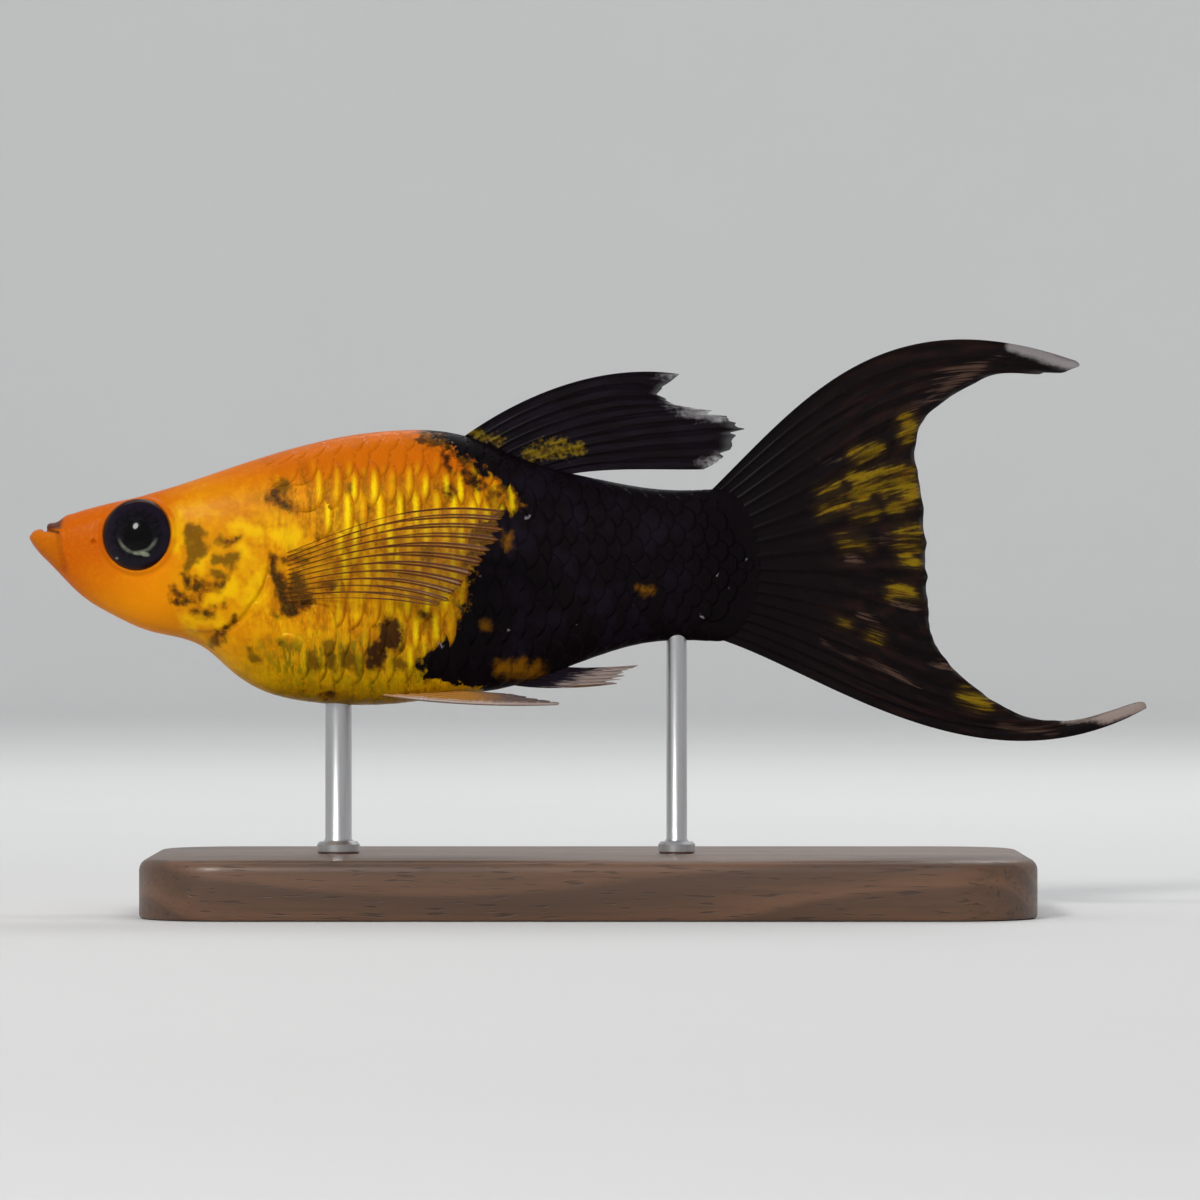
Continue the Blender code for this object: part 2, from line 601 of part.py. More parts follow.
def build_fins():
    grown = body_loft("grown_body", BODY_END, GAP)
    caudal = Fan(CAUDAL_RAYS, CAUDAL_MARGIN)
    caudal_place = upright(CAUDAL_SWAY, CAUDAL_RAYS[0][1][0][0], TOTAL_LENGTH)
    first, second = CAUDAL_SPLIT_AFTER
    parts = (("upper", 0, first), ("middle", first + 1, second), ("lower", second + 1, CAUDAL_RAY_COUNT - 1))
    for part_name, start, end in parts:
        finish(fin("caudal_fin_" + part_name, caudal, CAUDAL_RAY_COUNT, caudal_place, start, end), "dark_fin")
    dorsal = fin("dorsal_fin", Fan(DORSAL_RAYS, DORSAL_MARGIN), DORSAL_RAY_COUNT,
                 upright(DORSAL_SWAY, DORSAL_RAYS[0][1][0][0], DORSAL_MARGIN[5][1][0]))
    anal = fin("anal_fin", Fan(ANAL_RAYS, ANAL_MARGIN), ANAL_RAY_COUNT,
               upright(ANAL_SWAY, ANAL_RAYS[0][1][0][0], ANAL_MARGIN[0][1][0]))
    rooted = [(dorsal, "dark_fin"), (anal, "dark_fin")]
    for side, side_name in ((-1, "left"), (1, "right")):
        pectoral = fin("pectoral_fin_" + side_name, Fan(PECTORAL_RAYS, PECTORAL_MARGIN), PECTORAL_RAY_COUNT,
                       swung(side))
        pelvic = fin("pelvic_fin_" + side_name, Fan(PELVIC_RAYS, PELVIC_MARGIN), PELVIC_RAY_COUNT,
                     laid_back(side))
        rooted += [(pectoral, "clear_fin"), (pelvic, "pale_fin")]
    for one, finish_name in rooted:
        combine(one, grown, "DIFFERENCE", keep_tool=True)
        finish(one, finish_name)
    bpy.data.objects.remove(grown, do_unlink=True)


def rounded_rectangle(length, width, corner, arc_steps=5):
    points = []
    for quarter, (sign_x, sign_y) in enumerate(((1, 1), (-1, 1), (-1, -1), (1, -1))):
        for step in range(arc_steps + 1):
            angle = math.pi / 2.0 * (quarter + step / arc_steps)
            points.append((sign_x * (length / 2.0 - corner) + corner * math.cos(angle),
                           sign_y * (width / 2.0 - corner) + corner * math.sin(angle)))
    return points


def build_stand(trunk, stalk):
    levels = ((0.0, 0.0), (BASE_THICK - BASE_EDGE, 0.0), (BASE_THICK, BASE_EDGE))
    rows = []
    for level, inset in levels:
        outline = rounded_rectangle(BASE_LENGTH - 2.0 * inset, BASE_WIDTH - 2.0 * inset, BASE_CORNER - inset)
        rows.append([(x - TIP_X, y, level - AXIS_HEIGHT) for x, y in outline])
    base = tube_of_rings("stand_base", rows)
    rods = (("front", FRONT_ROD_X, FRONT_ROD_RADIUS, trunk), ("rear", REAR_ROD_X, REAR_ROD_RADIUS, stalk))
    for rod_name, rod_x, radius, flesh in rods:
        foot = BASE_THICK - ROD_FOOT_DEPTH
        belly = AXIS_HEIGHT + belly_line(rod_x - TIP_X)
        head_end = belly + ROD_HEAD_DEPTH
        combine(base, cylinder("foot_hole", rod_x, foot - GAP, BASE_THICK + 5.0, radius + GAP), "DIFFERENCE")
        combine(flesh, cylinder("socket", rod_x, belly - 5.0, head_end + GAP, radius + GAP), "DIFFERENCE")
        rod = cylinder("stand_rod_" + rod_name, rod_x, foot, head_end, radius)
        finish(rod, "rod_steel")
    finish(base, "base_wood")


jaw, head, trunk, stalk = build_body()
build_fins()
build_stand(trunk, stalk)
finish(jaw, "orange_skin")
finish(head, "orange_skin")
finish(trunk, "gold_skin")
finish(stalk, "black_skin")
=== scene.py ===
"""Looks of a gold dust tuxedo molly: a still, life-size model fish on a plain display stand.

Places on the fish are in millimetres behind the tip of the lower jaw and above the body's axis.
"""
import math

import bmesh
import bpy
import numpy as np
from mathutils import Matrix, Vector


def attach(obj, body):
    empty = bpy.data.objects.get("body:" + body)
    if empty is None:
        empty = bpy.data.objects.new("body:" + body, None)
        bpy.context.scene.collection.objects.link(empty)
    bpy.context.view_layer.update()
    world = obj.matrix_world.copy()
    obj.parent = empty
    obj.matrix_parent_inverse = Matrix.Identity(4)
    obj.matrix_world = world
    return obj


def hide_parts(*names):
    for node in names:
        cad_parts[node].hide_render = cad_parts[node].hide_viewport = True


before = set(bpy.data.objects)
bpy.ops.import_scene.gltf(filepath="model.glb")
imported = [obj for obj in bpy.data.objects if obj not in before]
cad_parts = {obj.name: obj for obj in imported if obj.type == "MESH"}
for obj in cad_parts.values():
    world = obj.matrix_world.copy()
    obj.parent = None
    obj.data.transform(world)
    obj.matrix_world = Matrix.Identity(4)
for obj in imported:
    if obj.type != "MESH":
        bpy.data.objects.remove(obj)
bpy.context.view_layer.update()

bl_info = {
    "name": "Gold Dust Tuxedo Molly",
    "version": (1, 0, 0),
    "blender": (4, 5, 0),
    "location": "3D View > Sidebar > Molly",
    "description": "Builds the skin, scales, fins, eyes and stand of a still model fish",
    "category": "Add Mesh",
}

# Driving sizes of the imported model
MM = 0.001
TOTAL_LENGTH = 76.0
AXIS_HEIGHT = 23.6
TIP_X = -0.5 * TOTAL_LENGTH

# Side view of the body: behind the jaw tip, height above the axis
BACK_LINE = [(0, 2.4), (1, 2.75), (2.4, 3.3), (5.1, 4.1), (8.2, 4.85), (11.6, 5.9), (15, 7.05),
             (18.4, 8.05), (21.8, 8.8), (25.2, 9.15), (27.9, 9.1), (30.6, 8.45), (33.3, 7.3), (35.7, 6.5),
             (38.8, 5.8), (42.2, 5.2), (45.6, 5.1), (48.4, 5.35), (50, 5.5)]
BELLY_LINE = [(0, 1.35), (0.7, 0.75), (2.2, -0.75), (3.4, -1.95), (5.4, -3.25), (8.2, -4.5), (10.9, -5.15),
              (12.2, -5.85), (13.6, -7.1), (16, -8.6), (18.4, -9.2), (22.8, -9.5), (25.8, -9.3),
              (28.6, -8.85), (32, -8.4), (35, -7.5), (37.7, -6.5), (41.5, -5.35), (44.9, -5.1),
              (48.4, -5.35), (50, -5.5)]
HALF_WIDTH = [(0, 1.35), (1, 1.65), (2.4, 2), (5.1, 2.65), (7.5, 3.15), (10.2, 3.65), (13.3, 4.1),
              (16.3, 4.35), (19.7, 4.5), (23.1, 4.5), (26.5, 4.3), (30.6, 3.8), (34.7, 3.2), (38.8, 2.6),
              (42.8, 2.05), (45.6, 1.45), (47.4, 0.78), (48.6, 0.36), (49.4, 0.17), (50, 0.1)]
WIDEST_AT = [(0, 1.9), (2.2, 1.5), (5, 0.9), (8, 0.6), (14, 0.45), (18, -0.2), (23, -1.3), (28, -1.2),
             (35, -0.4), (42, 0), (50, 0)]
SQUARE_ABOVE = [(0, 2.2), (3, 2.7), (7, 3.2), (11, 3), (16, 2.5), (22, 2.1), (50, 2)]
SQUARE_BELOW = [(0, 2), (6, 2.1), (14, 2.2), (24, 2.4), (33, 2.2), (50, 2)]
SNOUT_ROUNDING = 0.9
TAIL_ROUNDING_FROM = 46.6
SKIN_END = 49.7

# The mouth: the lower lip's upper face, then the upper lip and the front of the snout
LOWER_LIP_TOP = [(0, 2.1), (0.35, 2.36), (0.7, 2.45), (1.2, 2.38), (2, 2.25), (3.2, 2.1)]
UPPER_LIP_TOP = [(0.9, 2.3), (1.15, 2.55), (1.35, 2.75), (1.7, 2.87), (2, 3), (2.3, 3.24), (2.6, 3.42),
                 (3.2, 3.55)]
UPPER_LIP_BEGINS = (0.95, 1.3)
SNOUT_BEGINS = (2.4, 3.2)
LIP_ROUND = 0.2
LOWER_LIP_FRONT = (0.36, 0, 2.12)
LOWER_LIP_CORNER = (1.7, 1.7, 2)
UPPER_LIP_FRONT = (1.35, 0, 2.66)
UPPER_LIP_CORNER = (2.1, 1.8, 2.35)
MOUTH_SLIT = [(0.95, 2.42), (1.5, 2.34), (2.05, 2.2)]
JAW_FOLD = [(2.05, 2.2), (2.2, 1.2), (2.42, 0.1), (2.5, -0.4)]
NOSTRIL_AT = (4.5, 1.55)
HEAD_END = 18.5

EYE_AT = (7.55, 2.04)
EYE_OFF_CENTRE = 2.8
EYE_RADIUS = 2.45
EYE_HALF_DEPTH = 1.05
EYE_SEEN = 2.34
EYE_UV_SPAN = 6.0
LENS_OUT = 0.1
EYE_FORWARD_TURN = math.radians(10)
EYE_UPWARD_TURN = math.radians(9)

GILL_EDGE = [(10.7, 3), (12.6, 3.6), (14.6, 3.4), (15.9, 2.4), (16.4, 0.8), (16.05, -1.3), (15.2, -2.65),
             (14.3, -3.7), (13.05, -4.35), (11.55, -4.4), (10.3, -3.9), (9.9, -2.4), (10.4, -0.35),
             (10.6, 1.35)]

# Fins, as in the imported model
CAUDAL_RAYS = [(0, [(47.5, 5), (52.4, 11), (57.8, 18.6), (71.4, 13.5)]),
               (0.5, [(47.5, 0), (52.6, 0.2), (56.8, 0.35), (61.1, 0.35)]),
               (1, [(47.5, -5.05), (53, -6.5), (64.3, -16.3), (76, -9.7)])]
CAUDAL_MARGIN = [(0, (71.2, 13.9)), (0.025, (71.45, 13.6)), (0.05, (71, 13.25)), (0.1, (68.8, 12.95)),
                 (0.15, (66, 12.95)), (0.2, (63.2, 11.7)), (0.25, (61.2, 10.3)), (0.3, (60.4, 8.5)),
                 (0.4, (60.8, 4.4)), (0.5, (61.1, 0.35)), (0.6, (61.2, -3.4)), (0.7, (62.2, -6.2)),
                 (0.78, (64.9, -8.7)), (0.85, (68, -10.3)), (0.91, (71.2, -10.45)), (0.95, (73.7, -9.85)),
                 (0.98, (75.7, -9.3)), (1, (76, -9.75))]
CAUDAL_RAY_COUNT = 18
CAUDAL_SWAY = 0.9
DORSAL_RAYS = [(0, [(28.8, 8.2), (32.3, 10.9), (38.1, 13.9), (44.2, 13)]),
               (1, [(35.2, 5.8), (38.1, 6.75), (42.2, 6.45), (45.8, 6.5)])]
DORSAL_MARGIN = [(0, (44.2, 13)), (0.12, (43.2, 11.9)), (0.3, (44.6, 10.8)), (0.45, (46.6, 10.5)),
                 (0.6, (48.5, 9.7)), (0.72, (48.7, 8.9)), (0.85, (47.7, 7.6)), (1, (45.8, 6.5))]
DORSAL_RAY_COUNT = 10
DORSAL_SWAY = 0.5
ANAL_RAYS = [(0, [(31.6, -7.9), (33.6, -8.5), (36.8, -8.5), (39.9, -8.1)]),
             (1, [(35.4, -6.8), (37.2, -7.1), (39.2, -6.95), (41.4, -6.8)])]
ANAL_MARGIN = [(0, (39.9, -8.1)), (0.3, (40.2, -7.8)), (0.65, (40.7, -7.3)), (1, (41.4, -6.8))]
ANAL_RAY_COUNT = 7
ANAL_SWAY = 0.3
PECTORAL_RAYS = [(0, [(16.6, 0.4), (21.4, 2.2), (25.8, 4.6), (32.4, 3.6)]),
                 (1, [(16.6, -2.7), (20.2, -2), (24.5, -2.2), (27.7, -2.8)])]
PECTORAL_MARGIN = [(0, (32.4, 3.6)), (0.2, (32.3, 2.2)), (0.5, (30.8, -0.3)), (0.8, (28.9, -2.4)),
                   (1, (27.7, -2.8))]
PECTORAL_RAY_COUNT = 12
PECTORAL_ROOT = (17.6, 4.3)
PECTORAL_SWING = math.radians(20)
PECTORAL_CUP = 0.5
PELVIC_RAYS = [(0, [(23, 0.2), (27, 1.3), (31.6, 1.75), (36, 1)]),
               (1, [(25.2, -0.6), (27.5, -0.5), (30, -0.4), (32.4, -0.3)])]
PELVIC_MARGIN = [(0, (36, 1)), (0.35, (34.9, 0.5)), (0.7, (33.6, 0)), (1, (32.4, -0.3))]
PELVIC_RAY_COUNT = 6
PELVIC_ROOT = (23.4, 1.8, -8.6)
PELVIC_TILT = math.radians(24)
PELVIC_DROP = math.radians(-2)

# Stand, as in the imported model
BASE_LENGTH = 60.0
BASE_WIDTH = 30.0
BASE_THICK = 4.0
BASE_CORNER = 6.0
RODS = {"front": (-17.0, 0.9), "rear": (6.0, 0.7)}
ROD_FOOT_DEPTH = 2.0
ROD_HEAD_DEPTH = 1.8
ROD_SIDES = 64
SHARP_FROM = math.radians(35.0)

SIDES = ((-1, "left"), (1, "right"))


def smooth_step(low, high, value):
    share = np.clip((value - low) / (high - low), 0.0, 1.0)
    return share * share * (3.0 - 2.0 * share)


class Curve:
    """A smooth curve through a few stations, as a natural cubic spline, read at many places at once."""

    def __init__(self, stations):
        self.at = np.array([station[0] for station in stations], dtype=float)
        self.value = np.array([np.atleast_1d(station[1]) for station in stations], dtype=float)
        step = np.diff(self.at)
        slope = np.diff(self.value, axis=0) / step[:, None]
        right = np.zeros_like(self.value)
        right[1:-1] = 6.0 * np.diff(slope, axis=0)
        matrix = np.eye(len(stations))
        for i in range(1, len(stations) - 1):
            matrix[i, i - 1:i + 2] = step[i - 1], 2.0 * (step[i - 1] + step[i]), step[i]
        self.bend = np.linalg.solve(matrix, right)

    def __call__(self, at):
        at = np.asarray(at, dtype=float)
        i = np.clip(np.searchsorted(self.at, at) - 1, 0, len(self.at) - 2)
        width = self.at[i + 1] - self.at[i]
        a = ((self.at[i + 1] - at) / width)[..., None]
        b = ((at - self.at[i]) / width)[..., None]
        bend = (a ** 3 - a) * self.bend[i] + (b ** 3 - b) * self.bend[i + 1]
        value = a * self.value[i] + b * self.value[i + 1] + bend * width[..., None] ** 2 / 6.0
        return value[..., 0] if self.value.shape[1] == 1 else value


back_line = Curve(BACK_LINE)
belly_line = Curve(BELLY_LINE)
half_width = Curve(HALF_WIDTH)
widest_at = Curve(WIDEST_AT)
square_above = Curve(SQUARE_ABOVE)
square_below = Curve(SQUARE_BELOW)
lower_lip_top = Curve(LOWER_LIP_TOP)
upper_lip_top = Curve(UPPER_LIP_TOP)


def line_through(stations, steps):
    """Points along a smooth line through a few flat points."""
    return Curve(list(enumerate(stations)))(np.linspace(0.0, len(stations) - 1.0, steps))


gill_outline = line_through(GILL_EDGE + GILL_EDGE[:1], 161)[:-1]
mouth_slit = line_through(MOUTH_SLIT, 60)
jaw_fold = line_through(JAW_FOLD, 90)


# The body's surface
def top_line(behind, side):
    """The back's height, with the rounded upper lip and the notch of the mouth at the front."""
    snout = smooth_step(*SNOUT_BEGINS, behind)
    ahead = behind - LIP_ROUND * side ** 2 * (1.0 - snout)
    lip = smooth_step(*UPPER_LIP_BEGINS, ahead)
    front = lower_lip_top(np.minimum(ahead, SNOUT_BEGINS[1])) * (1.0 - lip)
    front = front + upper_lip_top(np.clip(ahead, UPPER_LIP_TOP[0][0], SNOUT_BEGINS[1])) * lip
    return back_line(behind) * snout + front * (1.0 - snout)


def fullness(behind):
    """How full the section is near the tip of the jaw and near the root of the tail fin."""
    short = 1.0 - np.minimum(behind, SNOUT_ROUNDING) / SNOUT_ROUNDING
    past = np.clip((behind - TAIL_ROUNDING_FROM) / (SKIN_END - TAIL_ROUNDING_FROM + 0.02), 0.0, 1.0)
    return np.sqrt(np.maximum(1.0 - short ** 2, 0.0)), np.sqrt(np.maximum(1.0 - past ** 2, 0.0))


def section(behind, turn):
    """Side and height of the skin at an angle round the section, 0 at the left, 90 at the top."""
    middle = widest_at(behind)
    sine, cosine = np.sin(turn), np.cos(turn)
    power = 2.0 / np.where(sine >= 0.0, square_above(behind), square_below(behind))
    snout, tail = fullness(behind)
    side = -half_width(behind) * np.sign(cosine) * np.abs(cosine) ** power
    height = np.where(sine >= 0.0, top_line(behind, side * snout) - middle, middle - belly_line(behind))
    rise = height * np.sign(sine) * np.abs(sine) ** power
    return side * snout * np.sqrt(tail), middle + rise * snout * tail


class SkinMap:
    """The body's surface by how far behind the tip and by share of the girth, from the belly up the left."""

    STEP = 0.05
    COLUMNS = 512
    FIRST = 0.004

    def __init__(self):
        self.behind = np.arange(self.FIRST, SKIN_END + self.STEP, self.STEP)
        self.behind[-1] = SKIN_END
        turns = np.radians(np.linspace(-90.0, 270.0, 1441))
        outlines = section(*np.meshgrid(self.behind, turns, indexing="ij"))
        share = np.linspace(0.0, 1.0, self.COLUMNS + 1)
        self.tables = np.empty((2, len(self.behind), self.COLUMNS + 1))
        for row in range(len(self.behind)):
            steps = np.hypot(*[np.diff(outline[row]) for outline in outlines])
            run = np.concatenate([[0.0], np.cumsum(steps)])
            for table, outline in zip(self.tables, outlines):
                table[row] = np.interp(share, run / run[-1], outline[row])

    def point(self, behind, share):
        """Points on the skin, as arrays of (behind, side, height)."""
        row = np.clip((behind - self.FIRST) / self.STEP, 0.0, len(self.behind) - 1.001)
        column = np.mod(share, 1.0) * self.COLUMNS
        i = row.astype(int)
        j = np.minimum(column.astype(int), self.COLUMNS - 1)
        a, b = row - i, column - j
        out = []
        for table in self.tables:
            low = table[i, j] * (1.0 - b) + table[i, j + 1] * b
            high = table[i + 1, j] * (1.0 - b) + table[i + 1, j + 1] * b
            out.append(low * (1.0 - a) + high * a)
        return np.stack([np.asarray(behind, dtype=float), *out], axis=-1)

    def normal(self, behind, share, reach=0.12, turn=0.004):
        along = self.point(np.minimum(behind + reach, SKIN_END), share)
        along = along - self.point(np.maximum(behind - reach, self.FIRST), share)
        normal = np.cross(along, self.point(behind, share + turn) - self.point(behind, share - turn))
        return normal / np.maximum(np.linalg.norm(normal, axis=-1, keepdims=True), 1e-9)


skin_map = SkinMap()


# Mesh helpers
def to_world(points):
    """World places, in metres, of points given behind the tip, to the side and above the axis."""
    points = np.asarray(points, dtype=float)
    return (points + np.array([TIP_X, 0.0, AXIS_HEIGHT])) * MM


def mesh_object(name, points, *faces):
    """A smooth-shaded object from world points and groups of faces."""
    mesh = bpy.data.meshes.new(name)
    faces = [tuple(face) for group in faces for face in group]
    mesh.from_pydata([tuple(point) for point in points], [], faces)
    mesh.validate()
    mesh.shade_smooth()
    thing = bpy.data.objects.new(name, mesh)
    bpy.context.scene.collection.objects.link(thing)
    return thing


def face_outwards(thing):
    shape = bmesh.new()
    shape.from_mesh(thing.data)
    bmesh.ops.recalc_face_normals(shape, faces=shape.faces)
    shape.to_mesh(thing.data)
    shape.free()


def grid_faces(rows, columns, wrap=False):
    """Quads of a grid of points stored row by row."""
    row = np.arange(rows - 1)[:, None] * columns
    column = np.arange(columns if wrap else columns - 1)[None, :]
    a = row + column
    b = row + (column + 1) % columns
    return np.stack([a, b, b + columns, a + columns], axis=-1).reshape(-1, 4)


def cap(first, count, tip):
    """Triangles from a ring of points to the point at its middle."""
    ring = np.arange(count)
    return np.stack([ring + first, (ring + 1) % count + first, np.full(count, tip)], axis=-1)


def closed_tube(name, points, around):
    """A piece from rings of world points, each end closed round one of the last two points."""
    count = len(points) - 2
    tube = mesh_object(name, points, grid_faces(count // around, around, wrap=True),
                       cap(0, around, count), cap(count - around, around, count + 1))
    face_outwards(tube)
    return tube


def add_uv(thing, name, pairs):
    """A UV map from one pair for each vertex."""
    layer = thing.data.uv_layers.new(name=name)
    corner = np.empty(len(thing.data.loops), dtype=np.int64)
    thing.data.loops.foreach_get("vertex_index", corner)
    layer.data.foreach_set("uv", np.asarray(pairs, dtype=np.float32)[corner].ravel())


def put_on(thing, material, slot, *replaced):
    """Finish a piece: its material, its body and the nodes that it stands for."""
    thing.data.materials.clear()
    thing.data.materials.append(material)
    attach(thing, "root")
    if replaced:
        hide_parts(*replaced)


# Nodes
class Value:
    """A node's socket that takes part in Python arithmetic."""

    def __init__(self, tree, socket):
        self.tree = tree
        self.socket = socket

    def math(self, operation, *others):
        return self.tree.value("ShaderNodeMath", {"operation": operation}, [self, *others])

    def __add__(self, other):
        return self.math("ADD", other)

    def __sub__(self, other):
        return self.math("SUBTRACT", other)

    def __rsub__(self, other):
        return (self * -1.0) + other

    def __mul__(self, other):
        return self.math("MULTIPLY", other)

    def __truediv__(self, other):
        return self.math("DIVIDE", other)

    __radd__ = __add__
    __rmul__ = __mul__

    def smooth(self, low, high):
        """0 below low and 1 above high, with a smooth change between."""
        return self.tree.value("ShaderNodeMapRange", {"interpolation_type": "SMOOTHSTEP"},
                               {"Value": self, "From Min": low, "From Max": high})


class Tree:
    """A node tree being built, of a material or of geometry nodes."""

    def __init__(self, tree):
        self.tree = tree

    def plug(self, socket, value):
        """Link a value to a socket, or set it there."""
        value = value.socket if isinstance(value, Value) else value
        if isinstance(value, bpy.types.NodeSocket):
            self.tree.links.new(value, socket)
        else:
            socket.default_value = value

    def node(self, kind, settings=None, inputs=None):
        """Add a node, set its settings and then the values or links of its sockets."""
        node = self.tree.nodes.new(kind)
        for key, value in (settings or {}).items():
            setattr(node, key, value)
        for key, value in inputs.items() if isinstance(inputs, dict) else enumerate(inputs or []):
            self.plug(node.inputs[key], value)
        return node

    def value(self, kind, settings=None, inputs=None, output=0):
        """Add a node, and take one of its outputs for arithmetic."""
        return Value(self, self.node(kind, settings, inputs).outputs[output])


class Finish(Tree):
    """A material being built: its node tree, its coordinates and its base colour so far."""

    def __init__(self, name, base=None):
        self.material = bpy.data.materials.new(name)
        self.material.use_nodes = True
        super().__init__(self.material.node_tree)
        self.base = base
        self.place = self.node("ShaderNodeTexCoord").outputs["Object"]
        behind, side, above = self.split(self.place)
        self.behind = behind * 1000.0 - TIP_X
        self.side = side * 1000.0
        self.above = above * 1000.0 - AXIS_HEIGHT

    def set(self, **values):
        """Set the shader's sockets, and return the finished material."""
        for key, value in {"Base_Color": self.base, **values}.items():
            self.plug(self.tree.nodes["Principled BSDF"].inputs[key.replace("_", " ")], value)
        return self.material

    def split(self, vector):
        parts = self.node("ShaderNodeSeparateXYZ", inputs=[vector])
        return [Value(self, socket) for socket in parts.outputs]

    def pair(self, name):
        """The two numbers of a UV map, which is kept for noise to follow."""
        self.uv = self.node("ShaderNodeUVMap", {"uv_map": name}).outputs[0]
        return self.split(self.uv)[:2]

    def noise(self, scale, detail=2.0, offset=0.0, stretch=(1.0, 1.0, 1.0)):
        """Noise of so many lumps for each millimetre, as a value from about 0 to 1."""
        return self.noise_at(self.place, 1000.0 * scale, detail, offset, stretch)

    def noise_at(self, place, scale, detail, offset, stretch):
        mapping = self.node("ShaderNodeMapping", inputs={
            "Vector": place, "Location": (offset, offset * 0.37, offset * 0.71),
            "Scale": tuple(scale * axis for axis in stretch)})
        return self.value("ShaderNodeTexNoise", None, {"Vector": mapping.outputs[0], "Scale": 1.0,
                                                       "Detail": detail, "Roughness": 0.55}, "Fac")

    def mix(self, factor, first, second):
        """Mix two colours."""
        node = self.node("ShaderNodeMix", {"data_type": "RGBA", "clamp_factor": True},
                         {0: factor, 6: first, 7: second})
        return node.outputs[2]

    def lay(self, share, paint):
        """Lay a colour over the base colour, by a share from 0 to 1."""
        self.base = self.mix(share, self.base, paint)

    def read(self, name):
        """A number kept on the mesh's vertices."""
        return self.value("ShaderNodeAttribute", {"attribute_name": name}, output="Fac")

    def bump(self, height, distance, strength=0.5):
        return self.node("ShaderNodeBump", inputs={"Height": height, "Distance": distance,
                                                   "Strength": strength}).outputs[0]


def colour(red, green, blue):
    """A linear colour from the 0 to 255 values seen on a screen."""
    out = []
    for channel in (red, green, blue):
        share = channel / 255.0
        out.append(share / 12.92 if share <= 0.04045 else ((share + 0.055) / 1.055) ** 2.4)
    return (*out, 1.0)


ORANGE = colour(186, 84, 2)
# The lower cheek: its own yellower gold with painted light from below
CHEEK_GOLD_AND_UNDERLIGHT = colour(222, 132, 2)
BACK_ORANGE = colour(192, 96, 2)
GOLD = colour(204, 124, 2)
BRIGHT_YELLOW = colour(232, 188, 4)
DASH_YELLOW = colour(236, 206, 6)
GILL_GOLD = colour(204, 136, 2)
OLIVE_YELLOW = colour(206, 150, 4)
OLIVE_GREEN = colour(78, 78, 8)
OLIVE_BROWN = colour(86, 58, 5)
MARK_BROWN = colour(36, 18, 8)
RED_BROWN = colour(112, 50, 4)
TUXEDO = colour(10, 6, 9)
VIOLET = colour(24, 17, 30)
PALE_GLINT = colour(196, 190, 200)
FIN_RAY = colour(11, 6, 6)
FIN_BUFF = colour(94, 72, 60)
LIP_PURPLE = colour(40, 24, 34)
JAW_OCHRE = colour(176, 108, 8)
EYE_RIM = colour(58, 24, 8)
PALE_EYE_REFLECTION = colour(150, 158, 134)
FIN_DARK = colour(13, 8, 9)
FIN_GOLD = colour(116, 95, 8)
FIN_OLIVE = colour(72, 52, 8)
FIN_RUST = colour(108, 60, 10)
FIN_BROWN = colour(38, 21, 16)
FIN_PALE = colour(150, 134, 127)
FIN_CLEAR = colour(186, 128, 40)
RAY_BROWN = colour(70, 30, 5)
TIP_GREY = colour(136, 129, 130)
SPECK_BROWN = colour(132, 84, 4)
STRIP_OCHRE = colour(156, 103, 3)
PALE_SILVER = colour(112, 104, 108)

# Where the black of the rear begins: height above the axis, then how far behind the tip
TUXEDO_EDGE = [(-9.6, 31), (-8.3, 30.6), (-8, 27.5), (-7.8, 26), (-6.9, 25.8), (-5.8, 26.8), (-5.1, 28),
               (-4.4, 28.9), (-3, 29.1), (0, 29.2), (2.8, 29.5), (3.3, 32), (3.9, 33), (5, 32.4), (6, 31),
               (7.2, 29.9), (8, 28.6), (9.2, 27.2)]
